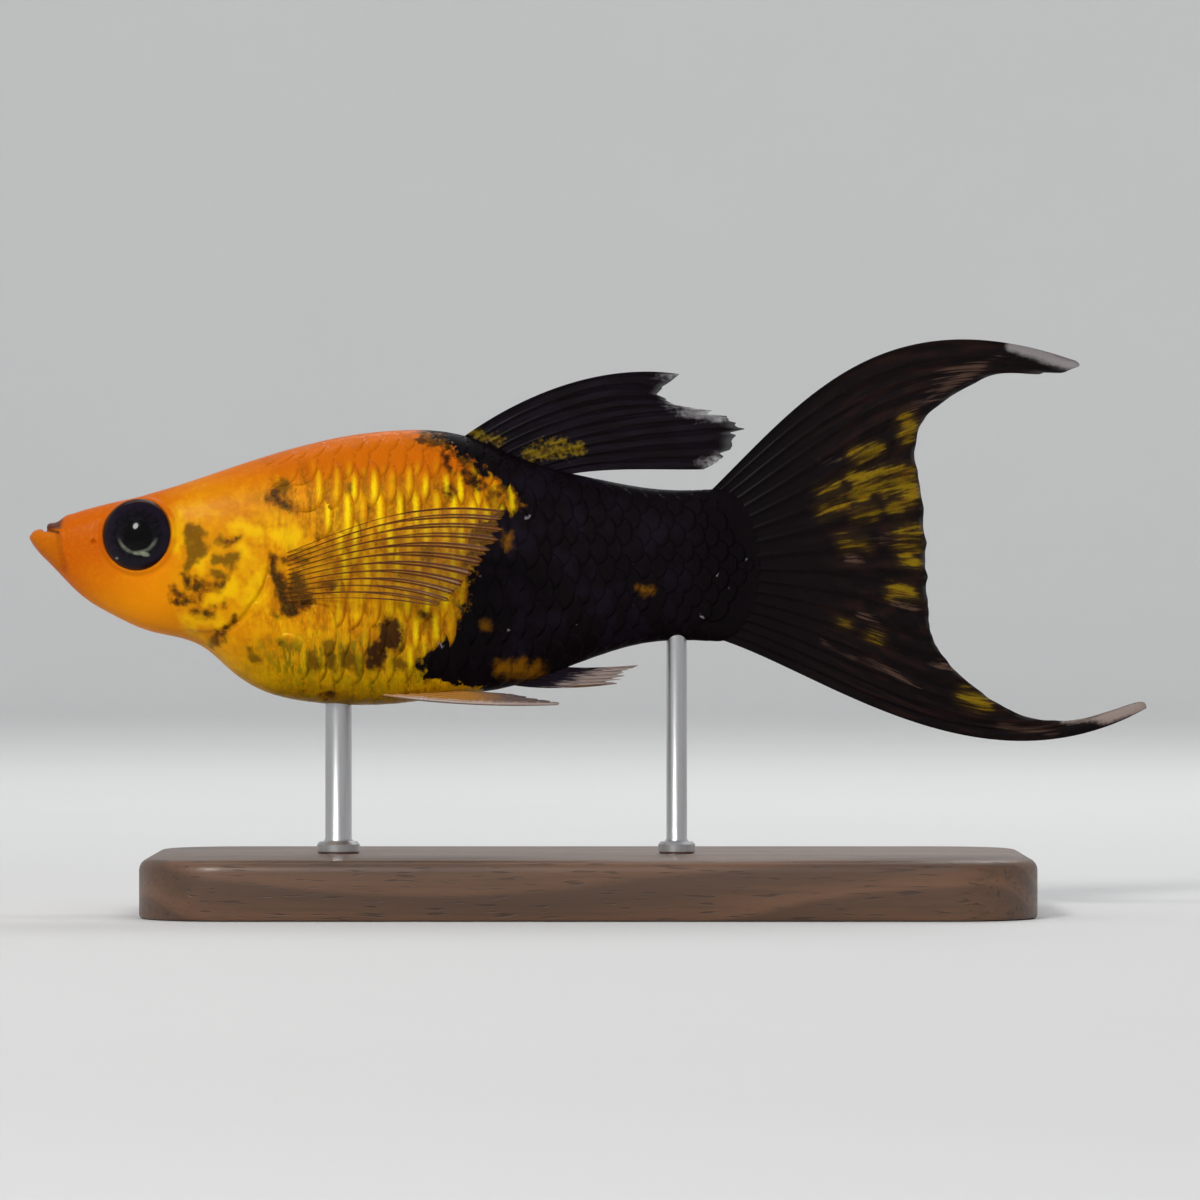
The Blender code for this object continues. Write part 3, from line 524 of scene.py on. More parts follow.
# Marks are strokes of a brush: from behind and above, to behind and above, half width
BODY_MARKS = {
    "olive_mark_and_gill_shadow": [
        (11.35, 2.2, 11.6, 0.9, 0.68), (11.5, 0.5, 11, -0.2, 0.3), (13.1, 1.8, 13.4, 1.4, 0.28),
        (13, 0.5, 14, 0.3, 0.34), (12.7, -0.5, 13.6, -0.7, 0.22), (14, 0, 14.1, -0.3, 0.26),
        # Painted shadow: the stroke from 13.2, -4.5 to 12.5, -5 darkens the skin under the gill cover's lower
        # edge
        (17.2, 5.3, 17.5, 5.1, 0.33), (17.9, -1.9, 18.2, -2.6, 0.4), (13.2, -4.5, 12.5, -5, 0.3),
        (20.5, -5.6, 20.9, -6.8, 0.4), (21.8, -5.9, 22.3, -7, 0.42), (27, 8.7, 28.6, 8.4, 0.45),
        (16.65, -3, 16.8, -3.1, 0.22), (19.2, -6.2, 19.4, -6.9, 0.25), (17.1, -5.2, 17.4, -5.6, 0.16),
        (14.9, -5.8, 15.5, -6.5, 0.14), (24.8, -6.6, 25.8, -6.9, 0.22), (29.6, 7.4, 30.4, 6.6, 0.4),
        (22, 5.2, 22.1, 4.9, 0.2)],
    "brown_mark_and_gill_crease_shade": [
        (10.97, -1, 11, -1.4, 0.17), (11.8, -1.3, 12.6, -1.4, 0.2), (11.8, -1.4, 11.5, -2.2, 0.15),
        (12.6, -1.35, 13.5, -1.15, 0.13), (10.16, -1.9, 10.3, -2.6, 0.15), (10.4, -2.4, 10.9, -2.45, 0.09),
        (11.4, -3.1, 11.45, -3.12, 0.12), (12.1, -3.3, 12.5, -3.3, 0.1), (13.3, -2.67, 13.32, -2.75, 0.09),
        (13.6, 1.78, 14.2, 1.78, 0.1), (16.7, 4.7, 18.1, 3.8, 0.24), (16.7, 0.5, 16.75, -0.75, 0.18),
        (16.8, 0.6, 19, 0.3, 0.13), (16.8, -0.8, 17.9, -3, 0.46), (18.2, -0.8, 18.8, -2.5, 0.42),
        # Painted shade: the thin stroke from 14.2, -3.75 to 12.9, -4.7 darkens the crease along the gill
        # cover's lower edge
        (20.1, -1.3, 20.6, -1.3, 0.26), (14.2, -3.75, 12.9, -4.7, 0.08), (24.5, -4.4, 24.6, -4.9, 0.82),
        (24, -5.4, 23.4, -6.5, 0.5), (27.3, 0.9, 27.3, 0, 0.38), (25.3, -0.66, 26.5, -0.66, 0.16),
        (28.6, 5.2, 28.6, 4.9, 0.3), (27, -3.4, 27.1, -3.5, 0.3), (20.3, -8.8, 20.8, -8.7, 0.13),
        (29.9, 6.3, 30.4, 5.4, 0.33), (28.2, 7.2, 28.3, 6.8, 0.22), (31.4, 4.6, 31.5, 4.3, 0.3)],
    "bright_mark": [
        (10.45, 3.7, 10.35, 1.2, 0.3), (11.8, -0.3, 12.5, 0.5, 0.25), (12.3, -2.5, 14.2, -1.4, 0.4),
        (14.3, 1.2, 14.9, 0.6, 0.3), (14.5, 2.6, 15.6, 2.2, 0.4), (17, 2.2, 18.4, 1.9, 0.5),
        (10.8, -3.7, 13.2, -3.8, 0.3), (15.4, -1.2, 15, -2.4, 0.35)],
    "gold_speck": [
        (32, -6.9, 34.4, -7.2, 0.45), (32.3, 1.9, 32.35, 1.5, 0.2), (31, -4.2, 31.1, -4.2, 0.18),
        (41.5, -1.7, 42.3, -1.7, 0.12), (32.6, 4.9, 32.9, 3.9, 0.2), (31.2, 5, 31.3, 4.2, 0.22)],
    # Painted glints: small pale highlights on the black rear
    "glint": [
        (33.6, 3.2, 33.9, 3.35, 0.09), (32.9, 1.35, 33, 1.3, 0.08), (40.8, 0, 40.9, -0.1, 0.1),
        (40.9, -2.3, 40.95, -2.6, 0.12), (37.4, -4.1, 37.5, -4.2, 0.1), (45.8, -3.2, 45.9, -3.4, 0.1),
        (46.7, -0.6, 46.75, -0.9, 0.12), (48.5, 0.4, 48.6, 0.3, 0.1), (47.5, -1.2, 47.5, -1.5, 0.1),
        (27.8, -5.5, 28.3, -5.6, 0.16), (30.5, -0.4, 30.5, -0.6, 0.12), (32.4, -4.2, 32.5, -4.5, 0.1)]}


OUTSIDE = -2.0


def reach_into(flat, strokes):
    """How deep each flat point lies inside the nearest brush stroke; below 0 outside all of them."""
    deepest = np.full(len(flat), OUTSIDE)
    for x0, z0, x1, z1, radius in strokes:
        start = np.array([x0, z0])
        run = np.array([x1 - x0, z1 - z0])
        share = np.clip((flat - start) @ run / max(run @ run, 1e-6), 0.0, 1.0)
        gap = np.linalg.norm(flat - start - share[:, None] * run, axis=1)
        deepest = np.maximum(deepest, radius - gap)
    return deepest


def lattice_noise(points, scale, seed):
    """Smooth noise from 0 to 1 with lumps of about one over the scale."""
    spot = points * scale + seed * 17.3
    cell = np.floor(spot).astype(np.int64)
    part = spot - cell
    part = part * part * (3.0 - 2.0 * part)
    total = np.zeros(len(points))
    for corner in np.ndindex(2, 2, 2):
        at = cell + np.array(corner)
        mixed = (at[:, 0] * 73856093) ^ (at[:, 1] * 19349663) ^ (at[:, 2] * 83492791) ^ (seed * 2654435)
        mixed = ((mixed ^ (mixed >> 13)) * 1274126177) & 0xFFFFFFFF
        mixed = ((mixed ^ (mixed >> 15)) * 668265263) & 0xFFFFFFFF
        weight = np.ones(len(points))
        for axis in range(3):
            weight = weight * (part[:, axis] if corner[axis] else 1.0 - part[:, axis])
        total += weight * mixed / 0xFFFFFFFF
    return total


def store(thing, name, values):
    """Keep one number for each vertex, for the materials to read."""
    layer = thing.data.attributes.new(name=name, type="FLOAT", domain="POINT")
    layer.data.foreach_set("value", np.asarray(values, dtype=np.float32))


def wander(points, scale, seed):
    """A wavering of flat places, up to half a millimetre each way."""
    return np.stack([lattice_noise(points, scale, seed + i) for i in (0, 1)], axis=-1) - 0.5


def store_markings(thing, points, centres):
    """Keep how deep each vertex lies in the black, in the marks, in the specks and in the painted glints.

    A scale's own centre draws the black's edge along the scales' outlines.
    """
    bend = wander(points, 0.55, 1)
    small = wander(points, 1.9, 3)
    flat = points[:, [0, 2]] + bend * 0.5 + small * 0.55
    middle = (points * 0.7 + centres * 0.3)[:, [0, 2]] + bend * 1.0 + small * 0.5
    heights, places = np.array(TUXEDO_EDGE).T
    store(thing, "tuxedo", np.clip(middle[:, 0] - np.interp(middle[:, 1], heights, places), -4.0, 2.0))
    for mark, strokes in BODY_MARKS.items():
        store(thing, mark, reach_into(flat, strokes))


def paint_markings(finish):
    """Lay the fish's colours, the same on skin and scales, with some painted light: light from below on the
    lower cheek, shadow and crease shade under the gill cover, and glints on the black; returns the black and
    the dark marks.
    """
    above, behind = finish.above, finish.behind
    mottle = finish.noise(0.5, 3.0, 1.0)
    fine = finish.noise(1.7, 4.0, 7.0)
    streak = finish.noise(1.0, 3.0, 21.0, stretch=(3.4, 1.0, 0.8))
    drift = mottle - 0.5
    jitter = (fine - 0.5) * 1.3
    front = 1.0 - (behind + drift * 4.0).smooth(8.0, 12.5)
    up = (above + drift * 2.4).smooth(4.0, 6.8)
    down = 1.0 - (above + drift * 2.5).smooth(-8.2, -4.2)
    finish.base = finish.mix(up, GOLD, BACK_ORANGE)
    finish.lay(down, OLIVE_YELLOW)
    # Painted light: low down and towards the gill the head is laid lighter and yellower, partly the cheek's
    # own gold and partly light from below
    finish.lay(front, finish.mix((behind * 0.5 - above + drift * 2.0).smooth(1.0, 7.0), ORANGE, CHEEK_GOLD_AND_UNDERLIGHT))
    gill_x = (behind - 13.4) / 3.4
    gill_y = (above + 1.0) / 3.6
    gill = 1.0 - (gill_x * gill_x + gill_y * gill_y).math("SQRT").smooth(0.7, 1.15)
    finish.lay(gill * (0.3 + fine * 0.5), GILL_GOLD)
    flank = behind.smooth(14.0, 17.5) * (1.0 - up)
    low = 1.0 - above.smooth(-2.5, 1.5)
    finish.lay(streak.smooth(0.5, 0.66) * flank * (low * 0.3 + 0.2), BRIGHT_YELLOW)
    finish.lay((1.0 - streak.smooth(0.36, 0.5)) * flank * 0.35, OLIVE_BROWN)
    warm = (mottle * 0.6 + fine * 0.4).smooth(0.45, 0.62) * behind.smooth(9.0, 12.0)
    finish.lay(warm * (1.0 - up) * 0.3, BRIGHT_YELLOW)
    shade = (1.0 - (fine * 0.45 + mottle * 0.55).smooth(0.36, 0.52)) * behind.smooth(11.0, 17.0)
    finish.lay(shade * (1.0 - up * 0.7) * (1.0 - gill * 0.3) * 0.32, OLIVE_BROWN)
    finish.lay((drift * 1.5 - above).smooth(7.6, 9.4) * behind.smooth(14.0, 19.0) * 0.3, OLIVE_BROWN)
    finish.lay((finish.read("bright_mark") + jitter * 0.7).smooth(-0.5, 0.5) * 0.6, BRIGHT_YELLOW)
    belt = 1.0 - (above + 6.2 + drift * 2.0).math("ABSOLUTE").smooth(0.6, 2.2)
    belt = belt.math("MAXIMUM", down * 0.6) * (1.0 - (behind - 20.5).math("ABSOLUTE").smooth(2.5, 7.0))
    finish.lay(belt * streak.smooth(0.42, 0.58) * 0.75, OLIVE_GREEN)
    # Olive marks, with a painted shadow under the gill cover
    finish.lay((finish.read("olive_mark_and_gill_shadow") + jitter + 0.05).smooth(-0.3, 0.3) * 0.85, OLIVE_BROWN)
    # Brown marks, with painted shade in the crease under the gill cover
    brown = finish.read("brown_mark_and_gill_crease_shade") + jitter + 0.06
    marked = brown.smooth(-0.2, 0.3)
    finish.lay(brown.smooth(-0.4, 0.1) * 0.6, RED_BROWN)
    finish.lay(marked * 0.92, MARK_BROWN)
    past = finish.read("tuxedo") + (fine - 0.5) * 2.4 + drift * 0.8
    black = past.smooth(-0.25, 0.35)
    finish.lay(past.smooth(-3.0, 0.4) * above.smooth(2.0, 4.0) * fine.smooth(0.42, 0.56) * 0.85, MARK_BROWN)
    finish.lay(past.smooth(-0.8, 0.2) * 0.55, OLIVE_BROWN)
    inky = 1.0 - behind.smooth(41.0, 47.0)
    finish.lay(black, finish.mix(mottle.smooth(0.45, 0.7) * inky * 0.5, TUXEDO, VIOLET))
    finish.lay((finish.read("gold_speck") + jitter * 0.8).smooth(-0.45, 0.45) * 0.85, SPECK_BROWN)
    # Painted glints: small pale highlights laid on the black
    finish.lay((finish.read("glint") + jitter * 0.25).smooth(-0.04, 0.1) * 0.4, PALE_GLINT)
    return black, marked


class MollySizes(bpy.types.PropertyGroup):
    """Sizes and colours that a user would change."""

    scale_pitch: bpy.props.FloatProperty(
        name="Scale pitch", description="Distance from one scale to the next along a row",
        default=0.00118, unit="LENGTH")
    scale_rows: bpy.props.IntProperty(
        name="Scale rows", description="Rows of scales on each flank, from the belly to the back", default=11)
    scale_tilt: bpy.props.FloatProperty(
        name="Scale lift", description="How far the free edge of a scale stands off the skin",
        default=0.00003, unit="LENGTH")
    ray_ridge: bpy.props.FloatProperty(
        name="Ray height", description="How far a fin ray stands out of its membrane",
        default=0.00008, unit="LENGTH")
    pupil: bpy.props.FloatProperty(
        name="Pupil", description="Radius of the pupil", default=0.00098, unit="LENGTH")
    rod_colour: bpy.props.FloatVectorProperty(
        name="Rod colour", description="Colour of the stand's rods", default=(0.55, 0.55, 0.56),
        subtype="COLOR")
    wood_colour: bpy.props.FloatVectorProperty(
        name="Wood colour", description="Colour of the stand's base", default=(0.13, 0.06, 0.028),
        subtype="COLOR")


# Skin
def lip_curve(front, corner, steps=40):
    angle = np.linspace(0.0, math.pi, steps)
    ahead = np.sin(angle)
    return np.stack([corner[0] + (front[0] - corner[0]) * ahead, -corner[1] * np.cos(angle),
                     corner[2] + (front[2] - corner[2]) * ahead], axis=-1)


def distance_to(points, curve):
    """Distance of each point to the nearest of a curve's points."""
    return np.linalg.norm(points[:, None, :] - curve[None, :, :], axis=-1).min(axis=1)


def inside_outline(points, outline):
    """Signed distance of flat points to a closed outline, above 0 inside."""
    gap = distance_to(points, outline)
    turned = np.zeros(len(points))
    for start, end in zip(outline, np.roll(outline, -1, axis=0)):
        a, b = start - points, end - points
        turned += np.arctan2(a[:, 0] * b[:, 1] - a[:, 1] * b[:, 0], (a * b).sum(axis=1))
    return np.where(np.abs(turned) > math.pi, gap, -gap)


def eye_axis(side):
    axis = np.array([-math.sin(EYE_FORWARD_TURN), side * math.cos(EYE_FORWARD_TURN),
                     math.sin(EYE_UPWARD_TURN)])
    return axis / np.linalg.norm(axis)


def eye_centre(side):
    return np.array([EYE_AT[0], side * EYE_OFF_CENTRE, EYE_AT[1]])


def eye_ring(points, side):
    """Distance of points from the line on which an eye looks out."""
    offset = points - eye_centre(side)
    axis = eye_axis(side)
    return np.linalg.norm(offset - (offset @ axis)[:, None] * axis, axis=1)


def bell(value, middle, width):
    """1 at the middle, falling smoothly to both sides."""
    return np.exp(-((value - middle) / width) ** 2)


def skin_relief(points):
    """How far the skin stands out of the plain body surface at each point."""
    lift = np.zeros(len(points))
    head = points[:, 0] < HEAD_END
    near = points[head]
    flat = near[:, [0, 2]]
    relief = np.zeros(len(near))
    pit = np.hypot(flat[:, 0] - NOSTRIL_AT[0], flat[:, 1] - NOSTRIL_AT[1])
    nostril = 0.07 * bell(pit, 0.26, 0.09) - 0.3 * bell(pit, 0.0, 0.14)
    for side, _ in SIDES:
        ring = eye_ring(near, side)
        socket = -1.1 * (1.0 - smooth_step(1.6, EYE_SEEN, ring))
        rim = 0.13 * bell(ring, 2.5, 0.17) - 0.07 * bell(ring, 2.85, 0.2)
        relief += np.where(near[:, 1] * side > 0.0, socket + rim + nostril, 0.0)
    depth = inside_outline(flat, gill_outline)
    rear = smooth_step(10.2, 11.2, near[:, 0])
    low = 1.0 - 0.8 * smooth_step(-1.0, 2.0, near[:, 2])
    flap = 0.14 * smooth_step(-0.4, 0.2, depth) * rear
    slot = 0.16 * bell(depth, -0.2, 0.15) * smooth_step(11.0, 13.0, near[:, 0])
    relief += (flap - slot - 0.02 * bell(depth, 0.0, 0.16) * (1.0 - rear)) * low
    for line, height, width, places in ((lip_curve(LOWER_LIP_FRONT, LOWER_LIP_CORNER), 0.1, 0.26, near),
                                        (lip_curve(UPPER_LIP_FRONT, UPPER_LIP_CORNER), 0.08, 0.24, near),
                                        (mouth_slit, -0.22, 0.09, flat), (jaw_fold, -0.1, 0.11, flat)):
        relief += height * bell(distance_to(places, line), 0.0, width)
    lift[head] = relief
    return lift


def build_skin():
    """One skin over the head, jaw, gill covers, trunk and tail stalk."""
    rows = np.concatenate([np.arange(0.006, 18.0, 0.075), np.linspace(18.0, SKIN_END, 190)])
    columns = 190
    behind, around = [grid.ravel() for grid in np.meshgrid(rows, np.arange(columns) / columns, indexing="ij")]
    points = skin_map.point(behind, around)
    points = points + skin_map.normal(behind, around) * skin_relief(points)[:, None]
    points = np.vstack([points, points[:columns].mean(axis=0), points[-columns:].mean(axis=0)])
    skin = closed_tube("skin", to_world(points), columns)
    store_markings(skin, points, points)
    near = points[:, 0] < 4.0
    for name, line in (("mouth_slit", mouth_slit), ("jaw_fold", jaw_fold)):
        gap = np.full(len(points), 1.0)
        gap[near] = distance_to(points[near][:, [0, 2]], line)
        store(skin, name, gap)
    rim = np.full(len(points), 1.0)
    for side, _ in SIDES:
        beside = (points[:, 1] * side > 0.0) & (points[:, 0] < 12.0)
        rim = np.where(beside, eye_ring(points, side) - EYE_SEEN, rim)
    store(skin, "eye_gap", np.clip(rim, -1.0, 1.0))
    return skin


def skin_material():
    finish = Finish("molly_skin")
    black, _ = paint_markings(finish)
    behind, above = finish.behind, finish.above
    lip = (1.0 - behind.smooth(2.05, 2.5)) * above.smooth(2.38, 2.5) * behind.smooth(0.9, 1.1)
    finish.lay(lip * 0.85, LIP_PURPLE)
    finish.lay((1.0 - finish.read("mouth_slit").smooth(0.03, 0.16)) * 0.95, LIP_PURPLE)
    finish.lay((1.0 - finish.read("jaw_fold").smooth(0.05, 0.35)) * 0.3, RED_BROWN)
    finish.lay((1.0 - behind.smooth(1.6, 2.6)) * (1.0 - above.smooth(2.2, 2.5)) * 0.35, JAW_OCHRE)
    finish.lay((1.0 - finish.read("eye_gap").smooth(-0.04, 0.22)) * 0.85, EYE_RIM)
    pores = finish.noise(7.0, 2.0, 2.0)
    grain = finish.noise(2.6, 3.0, 9.0)
    finish.lay((grain - 0.5).math("ABSOLUTE") * (1.0 - black) * 0.35, BRIGHT_YELLOW)
    return finish.set(Roughness=0.42 + black * 0.12 + (pores - 0.5) * 0.2,
                      Normal=finish.bump(pores * 0.4 + grain * 0.6, 0.00006), Coat_Weight=0.03 - black * 0.02,
                      Coat_Roughness=0.3, Specular_IOR_Level=0.04, Subsurface_Weight=0.06,
                      Subsurface_Radius=(0.0009, 0.0004, 0.0002), Subsurface_Scale=1.0)


class MOLLY_OT_skin(bpy.types.Operator):
    """One skin with its mouth, lips, nostrils, eye rims and gill covers"""

    bl_idname = "molly.skin"
    bl_label = "Skin"

    def execute(self, context):
        put_on(build_skin(), skin_material(), "gold_skin", "head", "lower_jaw", "gill_cover_left",
               "gill_cover_right", "trunk", "tail_stalk")
        return {"FINISHED"}


# Scales
def scale_template():
    """One scale: a thin round-ended plate, root at 0 and free edge at 1 along its length."""
    rings, spokes = 5, 22
    points = [(0.5, 0.0, 0.0)]
    for ring in range(1, rings + 1):
        reach = ring / rings
        for spoke in range(spokes):
            angle = 2.0 * math.pi * spoke / spokes
            along, across = [0.5 * math.copysign(abs(wave) ** power, wave) * reach
                             for wave, power in ((math.cos(angle), 0.85), (math.sin(angle), 0.75))]
            points.append((0.5 + along, across, 0.16 * (1.0 - reach ** 2)))
    under = range(len(points), len(points) + spokes)
    points += [(along, across, -0.35) for along, across, _ in points[-spokes:]]
    plate = mesh_object("scale_template", points, cap(1, spokes, 0),
                        grid_faces(rings + 1, spokes, wrap=True) + 1, [tuple(under)])
    face_outwards(plate)
    add_uv(plate, "ScaleUV", [(along, across + 0.5) for along, across, _ in points])
    return plate


def scale_tree(template):
    """Geometry nodes that lay scales on a flat plan in staggered rows and make them real."""
    group = bpy.data.node_groups.new("molly_scales", "GeometryNodeTree")
    group.interface.new_socket("Geometry", in_out="OUTPUT", socket_type="NodeSocketGeometry")
    plan = Tree(group)
    for name, kind, value in (("Length", "Float", 30.0), ("Pitch", "Float", 1.2), ("Rows", "Int", 11),
                              ("Seed", "Int", 4)):
        socket = group.interface.new_socket(name, in_out="INPUT", socket_type="NodeSocket" + kind)
        socket.default_value = value
    sizes = plan.node("NodeGroupInput").outputs
    length, pitch, rows, seed = [Value(plan, socket) for socket in sizes[:4]]
    index = plan.value("GeometryNodeInputIndex")

    def draw(low, high):
        return plan.value("FunctionNodeRandomValue", {"data_type": "FLOAT_VECTOR"},
                          {"Min": low, "Max": high, "ID": index, "Seed": seed})

    def keep(geometry, name, value, kind):
        return plan.value("GeometryNodeStoreNamedAttribute", {"data_type": kind, "domain": "INSTANCE"},
                          {"Geometry": geometry, "Name": name, "Value": value})

    columns = (length / pitch).math("FLOOR")
    row = ((index + 0.5) / columns).math("FLOOR")
    stagger = row.math("MODULO", 2.0) * 0.5
    along = (index - row * columns + stagger) * pitch
    spot = plan.value("ShaderNodeCombineXYZ", None, {"X": along, "Y": row})
    spot = plan.value("ShaderNodeVectorMath", {"operation": "ADD"},
                      [spot, draw((-0.05, -0.05, 0.0), (0.05, 0.05, 0.0))])
    line = plan.value("GeometryNodeMeshLine", {"mode": "OFFSET"}, {"Count": columns * rows})
    placed = plan.value("GeometryNodeSetPosition", None, {"Geometry": line, "Position": spot})
    plate = plan.value("GeometryNodeObjectInfo", None, {"Object": template}, "Geometry")
    laid = plan.value("GeometryNodeInstanceOnPoints", None, {
        "Points": placed, "Instance": plate, "Scale": draw((0.95, 0.96, 0.85), (1.05, 1.04, 1.15))})
    laid = keep(keep(laid, "scale_number", index, "FLOAT"), "scale_root", spot, "FLOAT_VECTOR")
    real = plan.value("GeometryNodeRealizeInstances", None, [laid])
    plan.node("NodeGroupOutput", None, [plan.value("GeometryNodeSetMaterial", None, [real])])
    return group


SCALES_FROM = 11.6
SCALES_TO = 49.0
SCALE_ROOT = 0.35
SCALE_LENGTH_IN_PITCHES = 2.25
SCALE_WIDTH_IN_ROWS = 1.9
SCALE_CROWN = 0.05
SCALES_SUNK = 0.07
SCALES_EMERGE = 3.5
BACK_FLATTER = 0.45
BACK_BAND = (4.5, 7.0)
GILL_BARE = 0.7
SHOULDER = [(-9.0, 14.0), (-4.2, 13.6), (-3.0, 16.2), (3.0, 16.2), (4.0, 13.4), (9.0, 11.8)]
STALK_FROM = 45.0
STALK_REACH = (4.2, 6.2)
BARE_FADE = 6.0
BAKE_LENGTH = 40.0
BAKE_FILL = 0.85


def bare_margin(place):
    """How far a scale's place lies past the bare face, gill covers and tail root; below 0 none grows."""
    behind, height = place[:, 0], place[:, 2]
    clear = -GILL_BARE - inside_outline(place[:, [0, 2]], gill_outline)
    shoulder = np.interp(height, *np.array(SHOULDER).T)
    tail = 1.0 - np.hypot((behind - STALK_FROM) / STALK_REACH[0], height / STALK_REACH[1])
    tail = np.where(behind > STALK_FROM, tail, 1.0) * BARE_FADE
    return np.minimum(np.minimum(clear, behind - shoulder), tail)


def read_vectors(items, key):
    values = np.empty(len(items) * 3)
    items.foreach_get(key, values)
    return values.reshape(-1, 3)


def lay_scales(name, side, sizes, tree, material):
    """Scales of one flank: laid flat by the node tree, then wrapped on the skin."""
    pitch = sizes.scale_pitch / MM
    row_height = 0.5 / sizes.scale_rows
    holder = mesh_object(name, [(0.0, 0.0, 0.0)])
    modifier = holder.modifiers.new("scales", "NODES")
    modifier.node_group = tree
    values = {"Length": SCALES_TO - SCALES_FROM, "Pitch": pitch, "Rows": sizes.scale_rows, "Seed": 4 + side}
    for item in tree.interface.items_tree:
        if item.in_out == "INPUT":
            modifier[item.identifier] = values[item.name]
    depsgraph = bpy.context.evaluated_depsgraph_get()
    mesh = bpy.data.meshes.new_from_object(holder.evaluated_get(depsgraph), depsgraph=depsgraph)
    holder.modifiers.remove(modifier)
    root = read_vectors(mesh.attributes["scale_root"].data, "vector")
    local = read_vectors(mesh.vertices, "co") - root

    def girth_share(row):
        share = (row + 0.5) * row_height
        return share if side < 0 else 1.0 - share

    behind = SCALES_FROM + root[:, 0] + (local[:, 0] - SCALE_ROOT) * pitch * SCALE_LENGTH_IN_PITCHES
    share = girth_share(root[:, 1] + local[:, 1] * SCALE_WIDTH_IN_ROWS)
    base = skin_map.point(behind, share)
    flatter = 1.0 - BACK_FLATTER * smooth_step(*BACK_BAND, base[:, 2])
    lift = (sizes.scale_tilt / MM * (local[:, 0] * 1.25 - SCALE_ROOT) + local[:, 2] * SCALE_CROWN) * flatter
    middle = skin_map.point(SCALES_FROM + root[:, 0], girth_share(root[:, 1]))
    bare = bare_margin(middle)
    sunk = SCALES_SUNK * (1.0 - smooth_step(0.0, SCALES_EMERGE, bare))
    points = base + skin_map.normal(behind, share) * (lift - sunk)[:, None]
    mesh.vertices.foreach_set("co", to_world(points).ravel())
    bake = np.stack([(root[:, 0] + local[:, 0] * BAKE_FILL * pitch) / BAKE_LENGTH,
                     (root[:, 1] + 0.5 + local[:, 1] * BAKE_FILL) * row_height * 2.0], axis=-1)
    holder.data = mesh
    add_uv(holder, "OFBake", bake * 0.95 + 0.01)
    mesh.attributes.remove(mesh.attributes["scale_root"])
    store_markings(holder, base, middle)
    shape = bmesh.new()
    shape.from_mesh(mesh)
    gone = [vert for vert, margin in zip(shape.verts, bare) if margin <= 0.0]
    bmesh.ops.delete(shape, geom=gone, context="VERTS")
    if side > 0:
        bmesh.ops.reverse_faces(shape, faces=shape.faces)
    shape.to_mesh(mesh)
    shape.free()
    mesh.shade_smooth()
    put_on(holder, material, "gold_skin")


def scale_material():
    finish = Finish("molly_scales")
    black, marked = paint_markings(finish)
    above, behind = finish.above, finish.behind
    along, sideways = finish.pair("ScaleUV")
    sideways = (sideways - 0.5) * 2.0
    across = sideways.math("ABSOLUTE")
    own = finish.node("ShaderNodeTexWhiteNoise", {"noise_dimensions": "1D"},
                      {"W": finish.read("scale_number")})
    draws = finish.node("ShaderNodeSeparateColor", inputs=[own.outputs["Color"]])
    lean, bright, tall = [Value(finish, socket) for socket in draws.outputs]
    fine = finish.noise(4.0, 3.0, 31.0)
    slant = sideways * (lean - 0.35) * 0.12
    off_middle = (along - 0.83 + slant + (tall - 0.5) * 0.06 + (fine - 0.5) * 0.1).math("ABSOLUTE")
    dash = (1.0 - off_middle.smooth(0.0, 0.11)) * (1.0 - across.smooth(tall * 0.4 + 0.1, tall * 0.4 + 0.65))
    golden = 1.0 - black
    band = (1.0 - (above + (bright - 0.5) * 1.5).smooth(5.4, 7.0)) * above.smooth(-8.6, -6.5)
    strong = above.smooth(-2.5, 0.5).math("MAXIMUM", behind.smooth(24.0, 27.0)) * 0.75 + 0.25
    strong = strong * golden * band
    dash = dash * (1.0 - marked) * strong * (bright.smooth(0.0, 0.7) * 0.8 + 0.2)
    between = 1.0 - (along - 0.6 + slant).math("ABSOLUTE").smooth(0.04, 0.2)
    between = between * (fine.smooth(0.3, 0.6) * 0.6 + 0.2)
    finish.lay(between * strong * 0.62, OLIVE_BROWN)
    finish.lay(dash * 0.95, DASH_YELLOW)
    rim = along.smooth(0.92, 0.99) + across.smooth(0.85, 1.0) * 0.5
    finish.lay(rim * golden * (1.0 - above.smooth(5.0, 7.0) * 0.8) * 0.16, OLIVE_BROWN)
    # Painted sheen: in the black the scales' rims are laid a little lighter and violet, as light catching
    # their edges
    finish.lay(rim * black * 0.15, VIOLET)
    rings = ((along - 0.3) * (along - 0.3) + across * across * 0.2).math("SQRT")
    circuli = (rings * 90.0).math("SINE") * 0.5 + 0.5
    return finish.set(Roughness=0.36 + (fine - 0.5) * 0.25 + black * 0.14, Metallic=golden * 0.1,
                      Normal=finish.bump(circuli * 0.25 + fine * 0.5, 0.00003),
                      Coat_Weight=golden * 0.03 + 0.01, Coat_Roughness=0.25, Specular_IOR_Level=0.04)


class MOLLY_OT_scales(bpy.types.Operator):
    """Overlapping scales over the trunk, the nape and the tail stalk"""

    bl_idname = "molly.scales"
    bl_label = "Scales"

    def execute(self, context):
        template = scale_template()
        tree = scale_tree(template)
        material = scale_material()
        for side, name in SIDES:
            lay_scales("scales_" + name, side, context.scene.molly, tree, material)
        bpy.data.objects.remove(template, do_unlink=True)
        bpy.data.node_groups.remove(tree)
        return {"FINISHED"}


